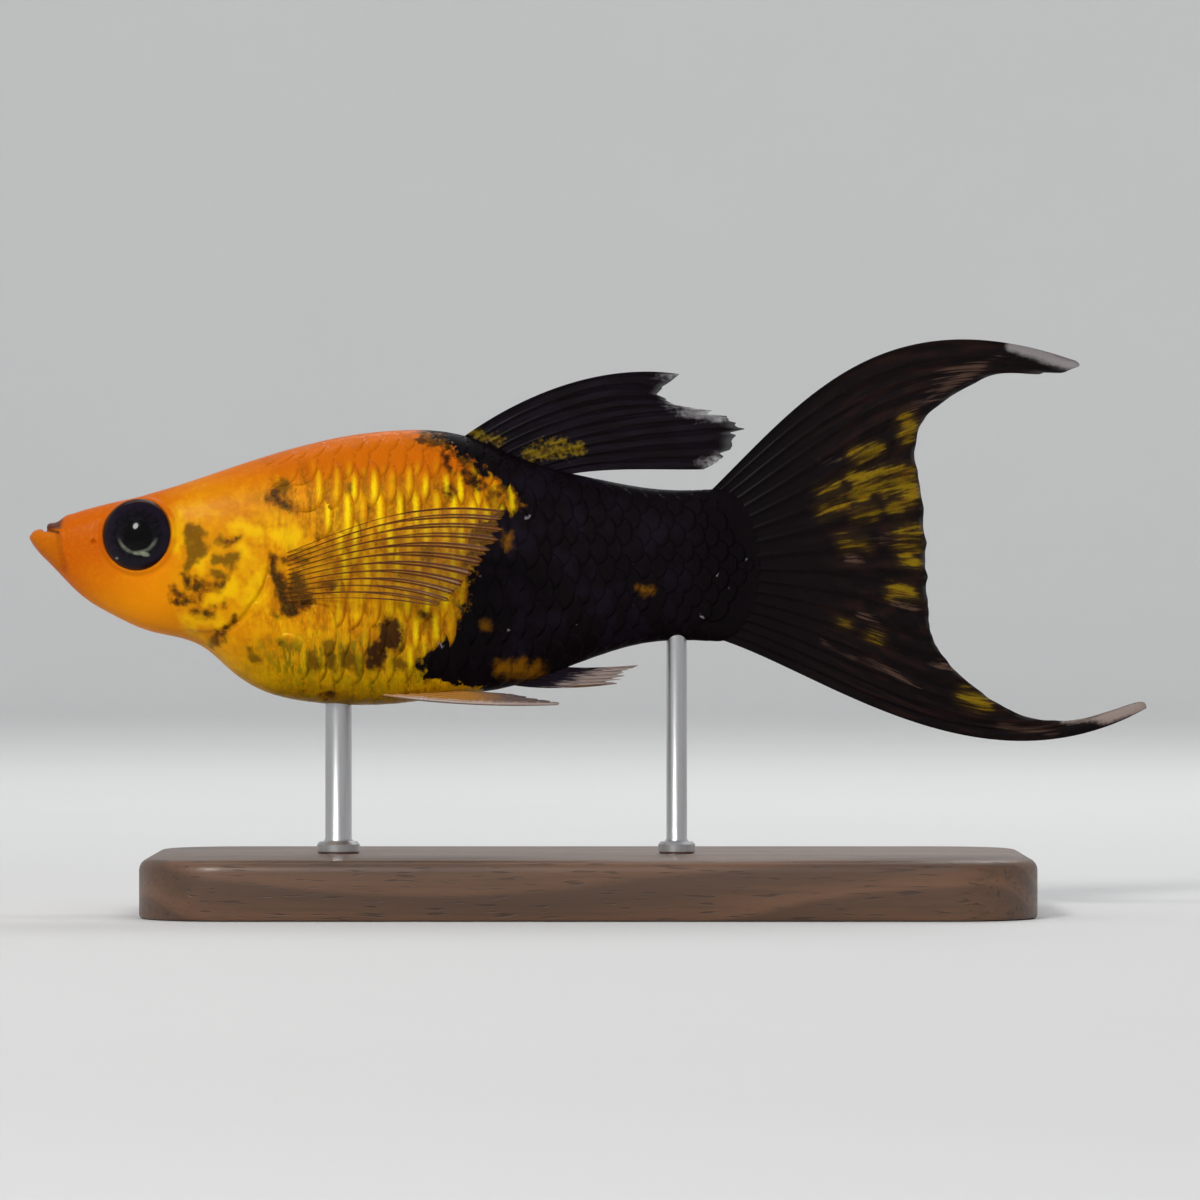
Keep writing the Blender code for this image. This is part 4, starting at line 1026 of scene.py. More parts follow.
# Eyes
def build_eye(name, side):
    """A flattened eyeball: a domed cornea and a lens that stands out a little."""
    rings, spokes = 95, 96
    tilt, spin = np.meshgrid(np.arange(1, rings + 1) * math.pi / (rings + 1),
                             np.arange(spokes) * 2.0 * math.pi / spokes, indexing="ij")
    across = np.sin(tilt) * EYE_RADIUS
    dome = np.cos(tilt)
    out = dome * EYE_HALF_DEPTH + np.where(dome > 0.0, LENS_OUT * bell(across, 0.0, 0.95), 0.0)
    local = np.stack([across * np.cos(spin), across * np.sin(spin), out], axis=-1).reshape(-1, 3)
    local = np.vstack([local, [0.0, 0.0, EYE_HALF_DEPTH + LENS_OUT], [0.0, 0.0, -EYE_HALF_DEPTH]])
    turn = np.array(Vector(eye_axis(side)).to_track_quat("Z", "Y").to_matrix())
    points = local @ turn.T + eye_centre(side)
    eye = closed_tube(name, to_world(points), spokes)
    add_uv(eye, "EyeUV", (points[:, [0, 2]] - EYE_AT) / EYE_UV_SPAN + 0.5)
    return eye


# Painted reflection in the eye, as pale spots low in the iris and a small glint by its rim: behind and above
# its middle, half width, half height, strength, lean
EYE_REFLECTION_SPOTS = ((0.5, -1.22, 0.34, 0.17, 0.85, 0.2), (0.0, -1.3, 0.3, 0.1, 0.5, 0.15),
             (-1.4, -1.6, 0.12, 0.09, 0.8, 0.0))


def eye_material(sizes):
    finish = Finish("molly_eye")
    along, up = [(value - 0.5) * EYE_UV_SPAN for value in finish.pair("EyeUV")]
    reach = (along * along + up * up).math("SQRT")
    fine = finish.noise(3.0, 3.0, 4.0)
    spokes = finish.noise(1.2, 4.0, 8.0)
    pupil = sizes.pupil / MM
    finish.base = finish.mix(fine.smooth(0.4, 0.7), colour(8, 6, 9), colour(20, 14, 24))
    finish.lay(1.0 - reach.smooth(pupil - 0.06, pupil + 0.08), colour(2, 2, 3))
    # Painted reflection: a pale arc in the lower half of the iris
    arc = (along * along * 0.9 + up * up).math("SQRT") + (spokes - 0.5) * 0.25
    ring = arc.smooth(1.05, 1.15) * (1.0 - arc.smooth(1.22, 1.4))
    finish.lay(ring * (up * -1.0).smooth(0.1, 0.7) * fine * 0.5, PALE_EYE_REFLECTION)
    # Painted reflection: the pale spots of the crescent and a small glint by the rim
    for at, above, wide, high, strength, lean in EYE_REFLECTION_SPOTS:
        x = (along - at) / wide
        y = (up - above + along * lean) / high
        spot = 1.0 - (x * x + y * y).math("SQRT").smooth(0.5, 1.3)
        finish.lay(spot * (0.4 + fine * 0.6) * strength, PALE_EYE_REFLECTION)
    finish.lay(reach.smooth(1.5, 1.95) * (1.0 - reach.smooth(2.05, 2.25)) * 0.4, colour(30, 21, 40))
    rim = reach.smooth(2.1, 2.38)
    finish.lay(rim * 0.75, EYE_RIM)
    return finish.set(Roughness=0.12 + rim * 0.25, Coat_Weight=0.14, Coat_Roughness=0.02,
                      Specular_IOR_Level=0.05)


class MOLLY_OT_eyes(bpy.types.Operator):
    """Two dark, wet eyes set in their sockets"""

    bl_idname = "molly.eyes"
    bl_label = "Eyes"

    def execute(self, context):
        material = eye_material(context.scene.molly)
        for side, name in SIDES:
            put_on(build_eye("eyeball_" + name, side), material, "eye_dark", "eye_" + name)
        return {"FINISHED"}


# Fins
class Fan:
    """The flat drawing of a fin: rays spread between a few leading ones, out to a margin."""

    def __init__(self, rays, margin):
        self.at = np.array([ray[0] for ray in rays], dtype=float)
        self.controls = np.array([ray[1] for ray in rays], dtype=float)
        self.margin = Curve(margin)

    def point(self, across, out):
        low = np.clip(np.searchsorted(self.at, across, side="right") - 1, 0, len(self.at) - 2)
        share = ((across - self.at[low]) / (self.at[low + 1] - self.at[low]))[..., None]
        a, b, c = [self.controls[low, i] * (1.0 - share) + self.controls[low + 1, i] * share
                   for i in range(3)]
        d = self.margin(across)
        out = out[..., None]
        rest = 1.0 - out
        return rest ** 3 * a + 3.0 * rest ** 2 * out * b + 3.0 * rest * out ** 2 * c + out ** 3 * d


FORKS = (0.45, 0.75)


def ray_profile(phase, out):
    """How much of a ray stands at a place between rays: one ridge, then two, then four."""
    offset = np.mod(phase + 0.5, 1.0) - 0.5
    spread = 0.15 * smooth_step(FORKS[0], FORKS[0] + 0.25, out)
    spread_again = 0.075 * smooth_step(FORKS[1], FORKS[1] + 0.2, out)
    width = 0.13 - 0.075 * smooth_step(FORKS[0], 1.0, out)
    return np.max([bell(offset, first * spread + second * spread_again, width)
                   for first in (-1.0, 1.0) for second in (-1.0, 1.0)], axis=0)


def build_fin(name, rays, margin, ray_count, stand_out, sizes, rows, per_ray, ragged, seed, membrane=0.055,
              marks=None):
    """A thin membrane with forked rays raised on both faces and a worn margin.

    marks: the brush strokes that are kept on the vertices, by name.
    """
    columns = (ray_count - 1) * per_ray + 1
    across = np.linspace(0.0, 1.0, columns)
    last = ray_count - 1
    phase = across * last
    wear = np.random.default_rng(seed).uniform(-1.0, 0.2, ray_count * 4 + 1)
    wear = np.interp(phase, np.linspace(0.0, last, len(wear)), wear) - 0.6 * np.abs(np.sin(math.pi * phase))
    reach = 1.0 + ragged * wear * smooth_step(0.3, 1.5, np.minimum(phase, last - phase))
    across, share = np.meshgrid(across, np.linspace(0.0, 1.0, rows + 1), indexing="ij")
    flat = Fan(rays, margin).point(across, share * np.clip(reach, 0.0, 1.0)[:, None])
    phase = across * last
    ridge = np.max([ray_profile(phase, share), bell(phase, 0.0, 0.22), bell(phase, last, 0.22)], axis=0)
    thick = membrane * (1.0 - 0.5 * share) + sizes.ray_ridge / MM * ridge * (1.0 - 0.72 * share)
    thick = thick * (1.0 - 0.6 * smooth_step(0.985, 1.0, share))
    ripple = 0.05 * np.sin(2.0 * math.pi * phase) * share
    points = np.stack([stand_out(flat, share, face * thick + ripple) for face in (-1.0, 1.0)])
    place = np.arange(flat[..., 0].size).reshape(columns, rows + 1)
    faces = grid_faces(columns, rows + 1)
    rims = [np.stack([line[:-1], line[1:], line[1:] + place.size, line[:-1] + place.size], axis=-1)
            for line in (place[:, 0], place[:, -1], place[0], place[-1])]
    fin = mesh_object(name, to_world(points.reshape(-1, 3)), faces, faces[:, ::-1] + place.size, *rims)
    face_outwards(fin)
    pairs = np.stack([share.ravel(), phase.ravel()], axis=-1)
    add_uv(fin, "RayUV", np.concatenate([pairs, pairs]))
    for mark, strokes in (marks or {}).items():
        store(fin, mark, np.tile(reach_into(flat.reshape(-1, 2), strokes), 2))
    return fin


def upright(sway, root_at, tip_at):
    """Stands a flat drawing upright in the middle plane, with a slight sideways sweep."""
    def stand_out(flat, out, thick):
        share = np.maximum((flat[..., 0] - root_at) / (tip_at - root_at), 0.0)
        wave = sway * np.sin(2.2 * share) * share
        return np.stack([flat[..., 0], thick + wave, flat[..., 1]], axis=-1)
    return stand_out


def swung(side):
    """Swings a pectoral fin out from the flank about the line of its root."""
    def stand_out(flat, out, thick):
        reach = flat[..., 0] - PECTORAL_ROOT[0]
        cup = PECTORAL_CUP * out * out
        away = PECTORAL_ROOT[1] + reach * math.tan(PECTORAL_SWING) + thick / math.cos(PECTORAL_SWING) - cup
        return np.stack([flat[..., 0], side * away, flat[..., 1]], axis=-1)
    return stand_out


def laid_back(side):
    """Lays a pelvic fin back along the belly, its plane tilted outwards."""
    def stand_out(flat, out, thick):
        along = flat[..., 0] - PELVIC_ROOT[0]
        away = PELVIC_ROOT[1] + flat[..., 1] * math.cos(PELVIC_TILT) + thick * math.sin(PELVIC_TILT)
        above = PELVIC_ROOT[2] - flat[..., 1] * math.sin(PELVIC_TILT) + thick * math.cos(PELVIC_TILT)
        return np.stack([flat[..., 0], side * away, above + along * math.tan(PELVIC_DROP)], axis=-1)
    return stand_out


def fin_finish(name, fork=FORKS[0]):
    """A fin's material, the share out along a ray, the phase between rays, and how much of a ray stands."""
    finish = Finish(name)
    out, phase = finish.pair("RayUV")
    offset = ((phase + 0.5).math("FRACT") - 0.5).math("ABSOLUTE")
    offset = (offset - out.smooth(fork, fork + 0.25) * 0.15).math("ABSOLUTE")
    return finish, out, phase, 1.0 - offset.smooth(0.048, 0.18)


def fin_gloss(finish, out, on_ray, fine, joints, cover, rough=0.42, grain=0.3, depth=0.00003, coat=0.02,
              coat_rough=0.3, shine=0.04):
    """Finish a membrane with its gloss, its cover and the fine joints along its rays."""
    along = ((out * joints).math("FRACT") - 0.5).math("ABSOLUTE").smooth(0.3, 0.48)
    return finish.set(Roughness=rough + (fine - 0.5) * 0.2, Alpha=cover,
                      Normal=finish.bump(along * on_ray + fine * grain, depth), Coat_Weight=coat,
                      Coat_Roughness=coat_rough, Specular_IOR_Level=shine)


# Strokes on the caudal and dorsal fins
CAUDAL_MARKS = {
    "gold_mark": [
        (59.7, 9.8, 59.7, 8.9, 0.38), (56.1, 7.4, 57.6, 7.9, 0.26), (56, 5.9, 60, 6.5, 0.24),
        (56.5, 5.3, 59.9, 6, 0.22), (58.1, 4.9, 60, 5.6, 0.22), (56, 4.5, 56.7, 4.8, 0.2),
        (56.3, 3.5, 57.3, 3.7, 0.26), (58.8, 4, 60, 4.7, 0.32), (53.8, 5, 55, 5.2, 0.13),
        (53.9, 3.7, 55.6, 4.1, 0.18), (59.3, 2.2, 60.5, 2.4, 0.27), (59.2, 1.2, 60.4, 1.3, 0.25),
        (59.7, 0.4, 60.2, 0.3, 0.27), (55.3, 1.5, 56.7, 1.5, 0.17), (58.6, -1.8, 60, -2, 0.22),
        (55.2, -3.9, 55.6, -4, 0.03), (57.2, -4.8, 57.7, -5, 0.03), (63.5, -8.8, 64.9, -9.4, 0.27)],
    "dull_mark": [
        (55.7, 0.4, 56.7, 0.4, 0.18), (56.4, -3.4, 57.7, -3.8, 0.17), (58.9, -2.6, 60.1, -2.8, 0.2),
        (61.4, 11.6, 64.5, 13.4, 0.4), (61.6, 12.6, 66, 14.2, 0.2), (61.5, -6.6, 62.9, -7.2, 0.2),
        (56.9, 1.75, 58.9, 1.7, 0.2), (60.2, 10.7, 61.4, 11.4, 0.2), (66, -10.9, 70, -11.6, 0.2),
        (53.8, 6.9, 55, 7.3, 0.12), (54, -5.3, 56, -6.2, 0.07), (57, -6.4, 60.5, -8.4, 0.07)],
    "pale_mark": [
        (66.8, 14.9, 71.4, 13.5, 0.36), (70.4, -10.6, 73, -10.4, 0.16), (73, -10.4, 76, -9.6, 0.42)]}


def caudal_material():
    finish, out, _, on_ray = fin_finish("caudal_membrane")
    strand = finish.noise_at(finish.uv, 1.0, 3.0, 6.0, (9.0, 2.2, 1.0))
    thread = finish.noise_at(finish.uv, 1.0, 3.0, 9.0, (7.0, 9.0, 1.0))
    fine = finish.noise(3.5, 2.0, 12.0)
    ragged = (strand - 0.5) * 0.5 + (fine - 0.5) * 0.35
    streaky = (strand - 0.5) * 1.0 + (thread - 0.5) * 1.8
    root = 1.0 - finish.behind.smooth(49.0, 57.0)
    finish.base = finish.mix(strand.smooth(0.42, 0.7) * (1.0 - root) * 0.6, FIN_DARK, FIN_BROWN)
    finish.lay(root, TUXEDO)
    finish.lay(on_ray * 0.3, FIN_RAY)
    dull = (finish.read("dull_mark") + streaky).smooth(-0.1, 0.35)
    finish.lay(dull * (thread.smooth(0.4, 0.62) * 0.45 + 0.1), FIN_BUFF)
    golden = finish.read("gold_mark")
    gold = (golden + streaky + 0.1).smooth(-0.2, 0.35) * (1.0 - on_ray * 0.35)
    shade = finish.mix(thread.smooth(0.38, 0.6), FIN_OLIVE, FIN_GOLD)
    shade = finish.mix(fine.smooth(0.5, 0.64) * 0.6, shade, FIN_RUST)
    finish.lay((golden + streaky * 0.6).smooth(-0.9, 0.4) * 0.4, FIN_OLIVE)
    finish.lay(gold * 0.95, shade)
    pale = (finish.read("pale_mark") + ragged).smooth(-0.25, 0.25)
    finish.lay(pale * (0.7 + strand * 0.3), finish.mix(finish.above.smooth(-2.0, 2.0), FIN_PALE, TIP_GREY))
    worn = (out.smooth(0.95, 1.0) * 0.25 + pale * 0.12) * (1.0 - on_ray * 0.6)
    return fin_gloss(finish, out, on_ray, fine, 60.0, 1.0 - worn, rough=0.48, grain=0.4)


DORSAL_MARKS = {
    "gold_mark": [
        (33.9, 7.5, 37.4, 7.9, 0.4), (34.4, 8.2, 36.2, 8.4, 0.22), (30.3, 8.9, 32, 8.4, 0.3),
        (29.9, 9.1, 30.6, 9, 0.2)],
    "dull_mark": [
        (29.6, 9.7, 30.2, 9.9, 0.16)],
    "pale_mark": [
        (43.6, 11.3, 45.6, 10.3, 0.45), (45.6, 10.4, 46.8, 9.9, 0.25), (42.9, 12.9, 44.2, 13, 0.2),
        (45.6, 7, 46.6, 7.2, 0.25)]}


def dorsal_material():
    finish, out, _, on_ray = fin_finish("dorsal_membrane")
    strand = finish.noise_at(finish.uv, 1.0, 3.0, 2.0, (7.0, 2.2, 1.0))
    fine = finish.noise(3.5, 2.0, 12.0)
    ragged = (strand - 0.5) * 0.5 + (fine - 0.5) * 0.35
    finish.base = finish.mix(strand.smooth(0.4, 0.7) * 0.5, TUXEDO, VIOLET)
    finish.lay(on_ray * 0.3, FIN_RAY)
    finish.lay((finish.read("dull_mark") + ragged).smooth(-0.15, 0.2) * 0.6, FIN_BUFF)
    gold = (finish.read("gold_mark") + (strand - 0.5) * 0.8 + (fine - 0.5) * 0.9).smooth(-0.2, 0.3)
    shade = finish.mix(fine.smooth(0.38, 0.6), FIN_OLIVE, FIN_GOLD)
    finish.lay(gold * (0.7 + on_ray * 0.2), shade)
    pale = (finish.read("pale_mark") + (strand - 0.5) * 2.0 + (fine - 0.5)).smooth(-0.3, 0.5)
    finish.lay(pale * 0.35, PALE_SILVER)
    worn = out.smooth(0.94, 1.0) * 0.35 + pale * 0.45
    return fin_gloss(finish, out, on_ray, fine, 40.0, 1.0 - worn, grain=0.4)


def pectoral_material():
    finish, out, _, on_ray = fin_finish("pectoral_membrane", fork=0.5)
    fine = finish.noise(3.0, 2.0, 12.0)
    uneven = finish.noise_at(finish.uv, 1.0, 2.0, 5.0, (2.5, 0.9, 1.0)).smooth(0.36, 0.58)
    finish.base = finish.mix(on_ray, FIN_CLEAR, RAY_BROWN)
    finish.lay((1.0 - on_ray) * out.smooth(0.75, 1.0) * 0.6, FIN_BROWN)
    finish.lay(1.0 - out.smooth(0.03, 0.12), MARK_BROWN)
    haze = 0.06 + out.smooth(0.5, 1.0) * (fine * 0.35 + 0.05)
    cover = haze + on_ray * (0.5 + uneven * 0.45) * (1.0 - out * 0.2)
    return fin_gloss(finish, out, on_ray, fine, 36.0, cover, rough=0.4, coat=0.04, coat_rough=0.2, shine=0.06)


def pelvic_material():
    finish, out, phase, on_ray = fin_finish("pelvic_membrane")
    fine = finish.noise(3.0, 2.0, 12.0)
    finish.base = finish.mix(on_ray * 0.5, colour(160, 140, 128), colour(184, 168, 160))
    inner = (phase + (fine - 0.5) * 1.2).smooth(0.4, 1.4)
    gold_end = (finish.behind + (fine - 0.5) * 3.0).smooth(29.5, 33.0)
    finish.lay(inner * 0.9, finish.mix(gold_end, STRIP_OCHRE, colour(92, 74, 72)))
    finish.lay((1.0 - out.smooth(0.08, 0.3)) * 0.8, STRIP_OCHRE)
    return fin_gloss(finish, out, on_ray, fine, 36.0, 0.97 - out.smooth(0.6, 1.0) * 0.3, rough=0.4,
                     depth=0.00004, coat=0.05, coat_rough=0.2, shine=0.1)


def anal_material():
    finish, out, phase, on_ray = fin_finish("anal_membrane")
    fine = finish.noise(3.0, 2.0, 12.0)
    strand = finish.noise_at(finish.uv, 1.0, 3.0, 3.0, (6.0, 3.0, 1.0))
    finish.base = finish.mix(on_ray * 0.4, colour(26, 19, 32), colour(48, 38, 46))
    finish.lay((out + (strand - 0.5) * 0.9).smooth(0.5, 0.72) * 0.9, FIN_PALE)
    streak = (1.0 - phase.smooth(0.2, 1.2)) * out.smooth(0.62, 0.7) * (1.0 - out.smooth(0.86, 0.95))
    finish.lay(streak * 0.8, OLIVE_BROWN)
    return fin_gloss(finish, out, on_ray, fine, 36.0, 1.0 - out.smooth(0.8, 1.0) * 0.25, depth=0.00004,
                     coat=0.05, coat_rough=0.2, shine=0.1)


class MOLLY_OT_caudal_fin(bpy.types.Operator):
    """The lyre-shaped tail fin in one membrane"""

    bl_idname = "molly.caudal_fin"
    bl_label = "Caudal Fin"

    def execute(self, context):
        rays = [(at, [(46.0, controls[0][1] * 0.95), *controls[1:]]) for at, controls in CAUDAL_RAYS]
        fin = build_fin("tail_membrane", rays, CAUDAL_MARGIN, CAUDAL_RAY_COUNT,
                        upright(CAUDAL_SWAY, CAUDAL_RAYS[0][1][0][0], TOTAL_LENGTH), context.scene.molly,
                        rows=120, per_ray=12, ragged=0.012, seed=7, marks=CAUDAL_MARKS)
        put_on(fin, caudal_material(), "dark_fin", "caudal_fin_upper", "caudal_fin_middle",
               "caudal_fin_lower")
        return {"FINISHED"}


class MOLLY_OT_middle_fins(bpy.types.Operator):
    """The dorsal fin, laid back, and the folded anal fin"""

    bl_idname = "molly.middle_fins"
    bl_label = "Dorsal and Anal Fins"

    def execute(self, context):
        sizes = context.scene.molly
        dorsal = build_fin("dorsal_membrane", DORSAL_RAYS, DORSAL_MARGIN, DORSAL_RAY_COUNT,
                           upright(DORSAL_SWAY, DORSAL_RAYS[0][1][0][0], DORSAL_MARGIN[5][1][0]), sizes,
                           rows=90, per_ray=14, ragged=0.035, seed=3, marks=DORSAL_MARKS)
        put_on(dorsal, dorsal_material(), "dark_fin", "dorsal_fin")
        anal = build_fin("anal_membrane", ANAL_RAYS, ANAL_MARGIN, ANAL_RAY_COUNT,
                         upright(ANAL_SWAY, ANAL_RAYS[0][1][0][0], ANAL_MARGIN[0][1][0]), sizes,
                         rows=60, per_ray=12, ragged=0.08, seed=5)
        put_on(anal, anal_material(), "dark_fin", "anal_fin")
        return {"FINISHED"}


class MOLLY_OT_paired_fins(bpy.types.Operator):
    """The clear pectoral fins and the pale pelvic fins"""

    bl_idname = "molly.paired_fins"
    bl_label = "Paired Fins"

    def execute(self, context):
        sizes = context.scene.molly
        clear = pectoral_material()
        pale = pelvic_material()
        for side, name in SIDES:
            pectoral = build_fin("pectoral_membrane_" + name, PECTORAL_RAYS, PECTORAL_MARGIN,
                                 PECTORAL_RAY_COUNT, swung(side), sizes, rows=70, per_ray=12, ragged=0.03,
                                 seed=11 + side, membrane=0.03)
            put_on(pectoral, clear, "clear_fin", "pectoral_fin_" + name)
            pelvic = build_fin("pelvic_membrane_" + name, PELVIC_RAYS, PELVIC_MARGIN, PELVIC_RAY_COUNT,
                               laid_back(side), sizes, rows=60, per_ray=12, ragged=0.05, seed=21 + side)
            put_on(pelvic, pale, "pale_fin", "pelvic_fin_" + name)
        return {"FINISHED"}


# Stand
def flat_edges(shape, height):
    return [edge for edge in shape.edges if all(abs(vert.co.z - height) < 1e-7 for vert in edge.verts)]


def build_base():
    """A flat base with round corners and softened edges."""
    mesh = bpy.data.meshes.new("base_plate")
    shape = bmesh.new()
    arc = np.linspace(0.0, math.pi / 2.0, 13)
    outline = []
    for quarter, (sign_x, sign_y) in enumerate(((1, 1), (-1, 1), (-1, -1), (1, -1))):
        for angle in arc + quarter * math.pi / 2.0:
            outline.append((sign_x * (BASE_LENGTH / 2.0 - BASE_CORNER) + BASE_CORNER * math.cos(angle),
                            sign_y * (BASE_WIDTH / 2.0 - BASE_CORNER) + BASE_CORNER * math.sin(angle)))
    bottom = shape.faces.new([shape.verts.new((x * MM, y * MM, 0.0)) for x, y in outline])
    raised = bmesh.ops.extrude_face_region(shape, geom=[bottom])
    lifted = [item for item in raised["geom"] if isinstance(item, bmesh.types.BMVert)]
    bmesh.ops.translate(shape, vec=(0.0, 0.0, BASE_THICK * MM), verts=lifted)
    bmesh.ops.recalc_face_normals(shape, faces=shape.faces)
    for height, offset, segments in ((BASE_THICK, 0.8, 5), (0.0, 0.25, 2)):
        bmesh.ops.bevel(shape, geom=flat_edges(shape, height * MM), offset=offset * MM, segments=segments,
                        profile=0.5, affect="EDGES")
    shape.to_mesh(mesh)
    shape.free()
    mesh.shade_smooth()
    mesh.set_sharp_from_angle(angle=SHARP_FROM)
    base = bpy.data.objects.new("base_plate", mesh)
    bpy.context.scene.collection.objects.link(base)
    return base


def turned(profile, sides, at_x=0.0):
    """Points of a profile of reach and height, turned round an upright line ring by ring."""
    reach, height = np.array(profile).T
    angles = np.arange(sides) * 2.0 * math.pi / sides
    return np.stack([np.outer(reach, np.cos(angles)) + at_x, np.outer(reach, np.sin(angles)),
                     np.outer(height, np.ones(sides))], axis=-1).reshape(-1, 3)


def build_rod(name, at_x, radius):
    """A turned rod with a softened head and a small collar where it leaves the base."""
    foot = BASE_THICK - ROD_FOOT_DEPTH
    top = AXIS_HEIGHT + float(belly_line(np.array(at_x - TIP_X))) + ROD_HEAD_DEPTH
    collar = radius + 0.55
    profile = [(radius, foot), (radius, BASE_THICK - 0.01), (collar - 0.12, BASE_THICK),
               (collar, BASE_THICK + 0.14), (collar, BASE_THICK + 0.62), (collar - 0.16, BASE_THICK + 0.8),
               (radius + 0.1, BASE_THICK + 0.84), (radius, BASE_THICK + 1.0), (radius, top - 0.2),
               (radius - 0.2, top)]
    points = np.vstack([turned(profile, ROD_SIDES, at_x), [(at_x, 0.0, foot), (at_x, 0.0, top)]])
    rod = closed_tube(name, points * MM, ROD_SIDES)
    rod.data.set_sharp_from_angle(angle=SHARP_FROM)
    return rod


def wood_material(sizes):
    finish = Finish("base_walnut", (*sizes.wood_colour, 1.0))
    drift = finish.noise(0.03, 2.0, 4.0, (0.35, 1.6, 1.6))
    fibre = finish.noise(2.0, 3.0, 8.0, (0.05, 1.0, 1.0))
    pores = finish.noise(5.0, 1.0, 3.0, (0.09, 1.0, 1.0))
    rings = (finish.side * 0.16 + finish.above * 0.3 + drift * 9.0 + fibre * 0.25).math("FRACT")
    rings = rings.smooth(0.0, 0.75) * (1.0 - rings.smooth(0.85, 1.0))
    dark = tuple(channel * 0.4 for channel in sizes.wood_colour) + (1.0,)
    finish.lay(rings * 0.6 + drift.smooth(0.4, 0.7) * 0.3, dark)
    finish.lay(fibre.smooth(0.42, 0.72) * 0.45, dark)
    finish.lay(pores.smooth(0.6, 0.7) * 0.5, (0.012, 0.006, 0.003, 1.0))
    return finish.set(Roughness=0.38 + fibre * 0.2, Coat_Weight=0.2, Coat_Roughness=0.25,
                      Normal=finish.bump(fibre * 0.3 - pores.smooth(0.62, 0.7), 0.00005))


def steel_material(sizes):
    finish = Finish("rod_steel", (*sizes.rod_colour, 1.0))
    brushed = finish.noise(3.0, 3.0, 2.0, (1.0, 1.0, 0.05))
    finish.lay(brushed.smooth(0.3, 0.7) * 0.3, (0.35, 0.35, 0.36, 1.0))
    return finish.set(Roughness=0.22 + brushed * 0.22, Metallic=1.0,
                      Normal=finish.bump(brushed, 0.00001, 0.4))


class MOLLY_OT_stand(bpy.types.Operator):
    """The plain base and its two rods"""

    bl_idname = "molly.stand"
    bl_label = "Stand"

    def execute(self, context):
        sizes = context.scene.molly
        put_on(build_base(), wood_material(sizes), "base_wood", "stand_base")
        steel = steel_material(sizes)
        for name, (at_x, radius) in RODS.items():
            put_on(build_rod("rod_" + name, at_x, radius), steel, "rod_steel", "stand_rod_" + name)
        return {"FINISHED"}


# Stage
FLOOR_RADIUS = 0.85
FLOOR_BEND = 0.35
WALL_TOP = 0.9
FLOOR_SIDES = 128
FLOOR_GAP = 0.00002
PIXEL = 0.068
IMAGE_SIDE = 1200.0
CAMERA_AT = ((IMAGE_SIDE / 2.0 - 588.5) * PIXEL, -500.0, AXIS_HEIGHT - (IMAGE_SIDE / 2.0 - 565.0) * PIXEL)


def build_sweep():
    """A pale round floor that curves up into a low wall all the way round."""
    profile = [(0.02, 0.0), (0.3, 0.0), (FLOOR_RADIUS, 0.0)]
    profile += [(FLOOR_RADIUS + FLOOR_BEND * math.sin(angle), FLOOR_BEND * (1.0 - math.cos(angle)))
                for angle in np.linspace(0.0, math.pi / 2.0, 20)[1:]]
    profile.append((FLOOR_RADIUS + FLOOR_BEND, WALL_TOP))
    points = turned(profile, FLOOR_SIDES)
    count = len(points)
    points = np.vstack([points, [0.0, 0.0, 0.0]]) - [0.0, 0.0, FLOOR_GAP]
    floor = mesh_object("floor", points, grid_faces(len(profile), FLOOR_SIDES, wrap=True)[:, ::-1],
                        cap(0, FLOOR_SIDES, count))
    finish = Finish("pale_floor", (0.62, 0.62, 0.615, 1.0))
    finish.lay(finish.noise(0.02, 2.0, 1.0) * 0.5, (0.58, 0.58, 0.577, 1.0))
    floor.data.materials.append(finish.set(Roughness=0.85, Specular_IOR_Level=0.2))


def soft_light(name, place, target, size, power, tint=(1.0, 1.0, 1.0), glossy=True, spread=180.0):
    light = bpy.data.lights.new(name, "AREA")
    light.shape = "ELLIPSE"
    light.size, light.size_y = size
    light.energy = power
    light.color = tint
    light.spread = math.radians(spread)
    lamp = bpy.data.objects.new(name, light)
    lamp.location = place
    lamp.rotation_euler = (Vector(target) - Vector(place)).to_track_quat("-Z", "Y").to_euler()
    lamp.visible_camera = False
    lamp.visible_glossy = glossy
    bpy.context.scene.collection.objects.link(lamp)


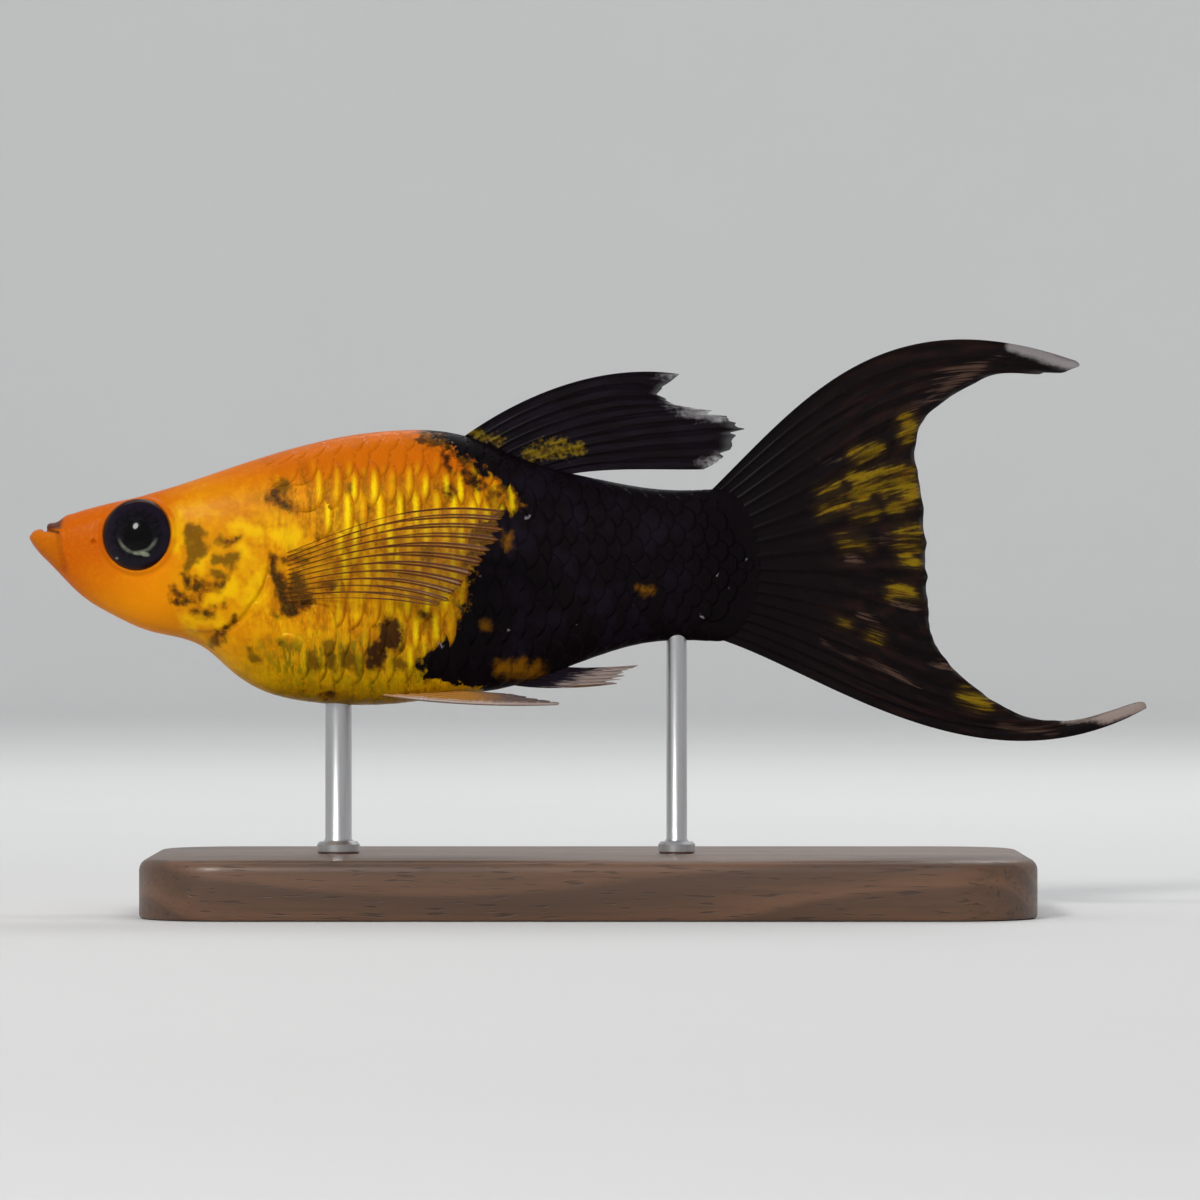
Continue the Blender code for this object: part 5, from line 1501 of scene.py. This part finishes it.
class MOLLY_OT_stage(bpy.types.Operator):
    """The pale floor, the soft light and the camera"""

    bl_idname = "molly.stage"
    bl_label = "Stage"

    def execute(self, context):
        scene = context.scene
        build_sweep()
        middle = (0.0, 0.0, 0.022)
        soft_light("key", (-0.24, -0.5, 0.38), middle, (0.15, 0.15), 0.6, (1.0, 0.985, 0.96), spread=90.0)
        soft_light("fill", (0.12, -0.6, 0.17), middle, (0.7, 0.1), 0.2, (0.97, 0.985, 1.0), glossy=False,
                   spread=90.0)
        soft_light("rim", (0.1, 0.35, 0.4), middle, (0.4, 0.2), 0.8)
        soft_light("backdrop", (0.0, 0.25, 0.9), (0.0, 1.1, 0.3), (1.2, 0.3), 5.0)
        for name, x, y in (("left", -1.0, 0.0), ("right", 1.0, 0.0), ("front", 0.0, -1.0)):
            soft_light("wall_" + name, (0.3 * x, 0.3 * y, 0.62), (1.2 * x, 1.2 * y, 0.45), (0.8, 0.2), 3.5,
                       glossy=False)
        world = bpy.data.worlds.new("studio")
        world.use_nodes = True
        background = world.node_tree.nodes["Background"].inputs
        background["Color"].default_value = (0.92, 0.95, 1.0, 1.0)
        background["Strength"].default_value = 0.4
        scene.world = world
        lens = bpy.data.cameras.new("camera")
        lens.sensor_width = 36.0
        lens.lens = lens.sensor_width * -CAMERA_AT[1] / (IMAGE_SIDE * PIXEL)
        lens.clip_start = 0.01
        camera = bpy.data.objects.new("camera", lens)
        camera.location = Vector(CAMERA_AT) * MM
        camera.rotation_euler = (math.pi / 2.0, 0.0, 0.0)
        scene.collection.objects.link(camera)
        scene.camera = camera
        scene.view_settings.view_transform = "Standard"
        return {"FINISHED"}


class MOLLY_PT_panel(bpy.types.Panel):
    """Lists the pieces of the model"""

    bl_label = "Molly"
    bl_space_type = "VIEW_3D"
    bl_region_type = "UI"
    bl_category = "Molly"

    def draw(self, context):
        for item in STEPS:
            self.layout.operator(item.bl_idname)
        for name in MollySizes.__annotations__:
            self.layout.prop(context.scene.molly, name)


STEPS = (MOLLY_OT_skin, MOLLY_OT_scales, MOLLY_OT_eyes, MOLLY_OT_caudal_fin, MOLLY_OT_middle_fins,
         MOLLY_OT_paired_fins, MOLLY_OT_stand, MOLLY_OT_stage)
CLASSES = (MollySizes, *STEPS, MOLLY_PT_panel)


def register():
    for item in CLASSES:
        bpy.utils.register_class(item)
    bpy.types.Scene.molly = bpy.props.PointerProperty(type=MollySizes)


def unregister():
    del bpy.types.Scene.molly
    for item in reversed(CLASSES):
        bpy.utils.unregister_class(item)


def main():
    register()
    for step in STEPS:
        group, name = step.bl_idname.split(".")
        getattr(getattr(bpy.ops, group), name)()


if __name__ == "__main__":
    main()
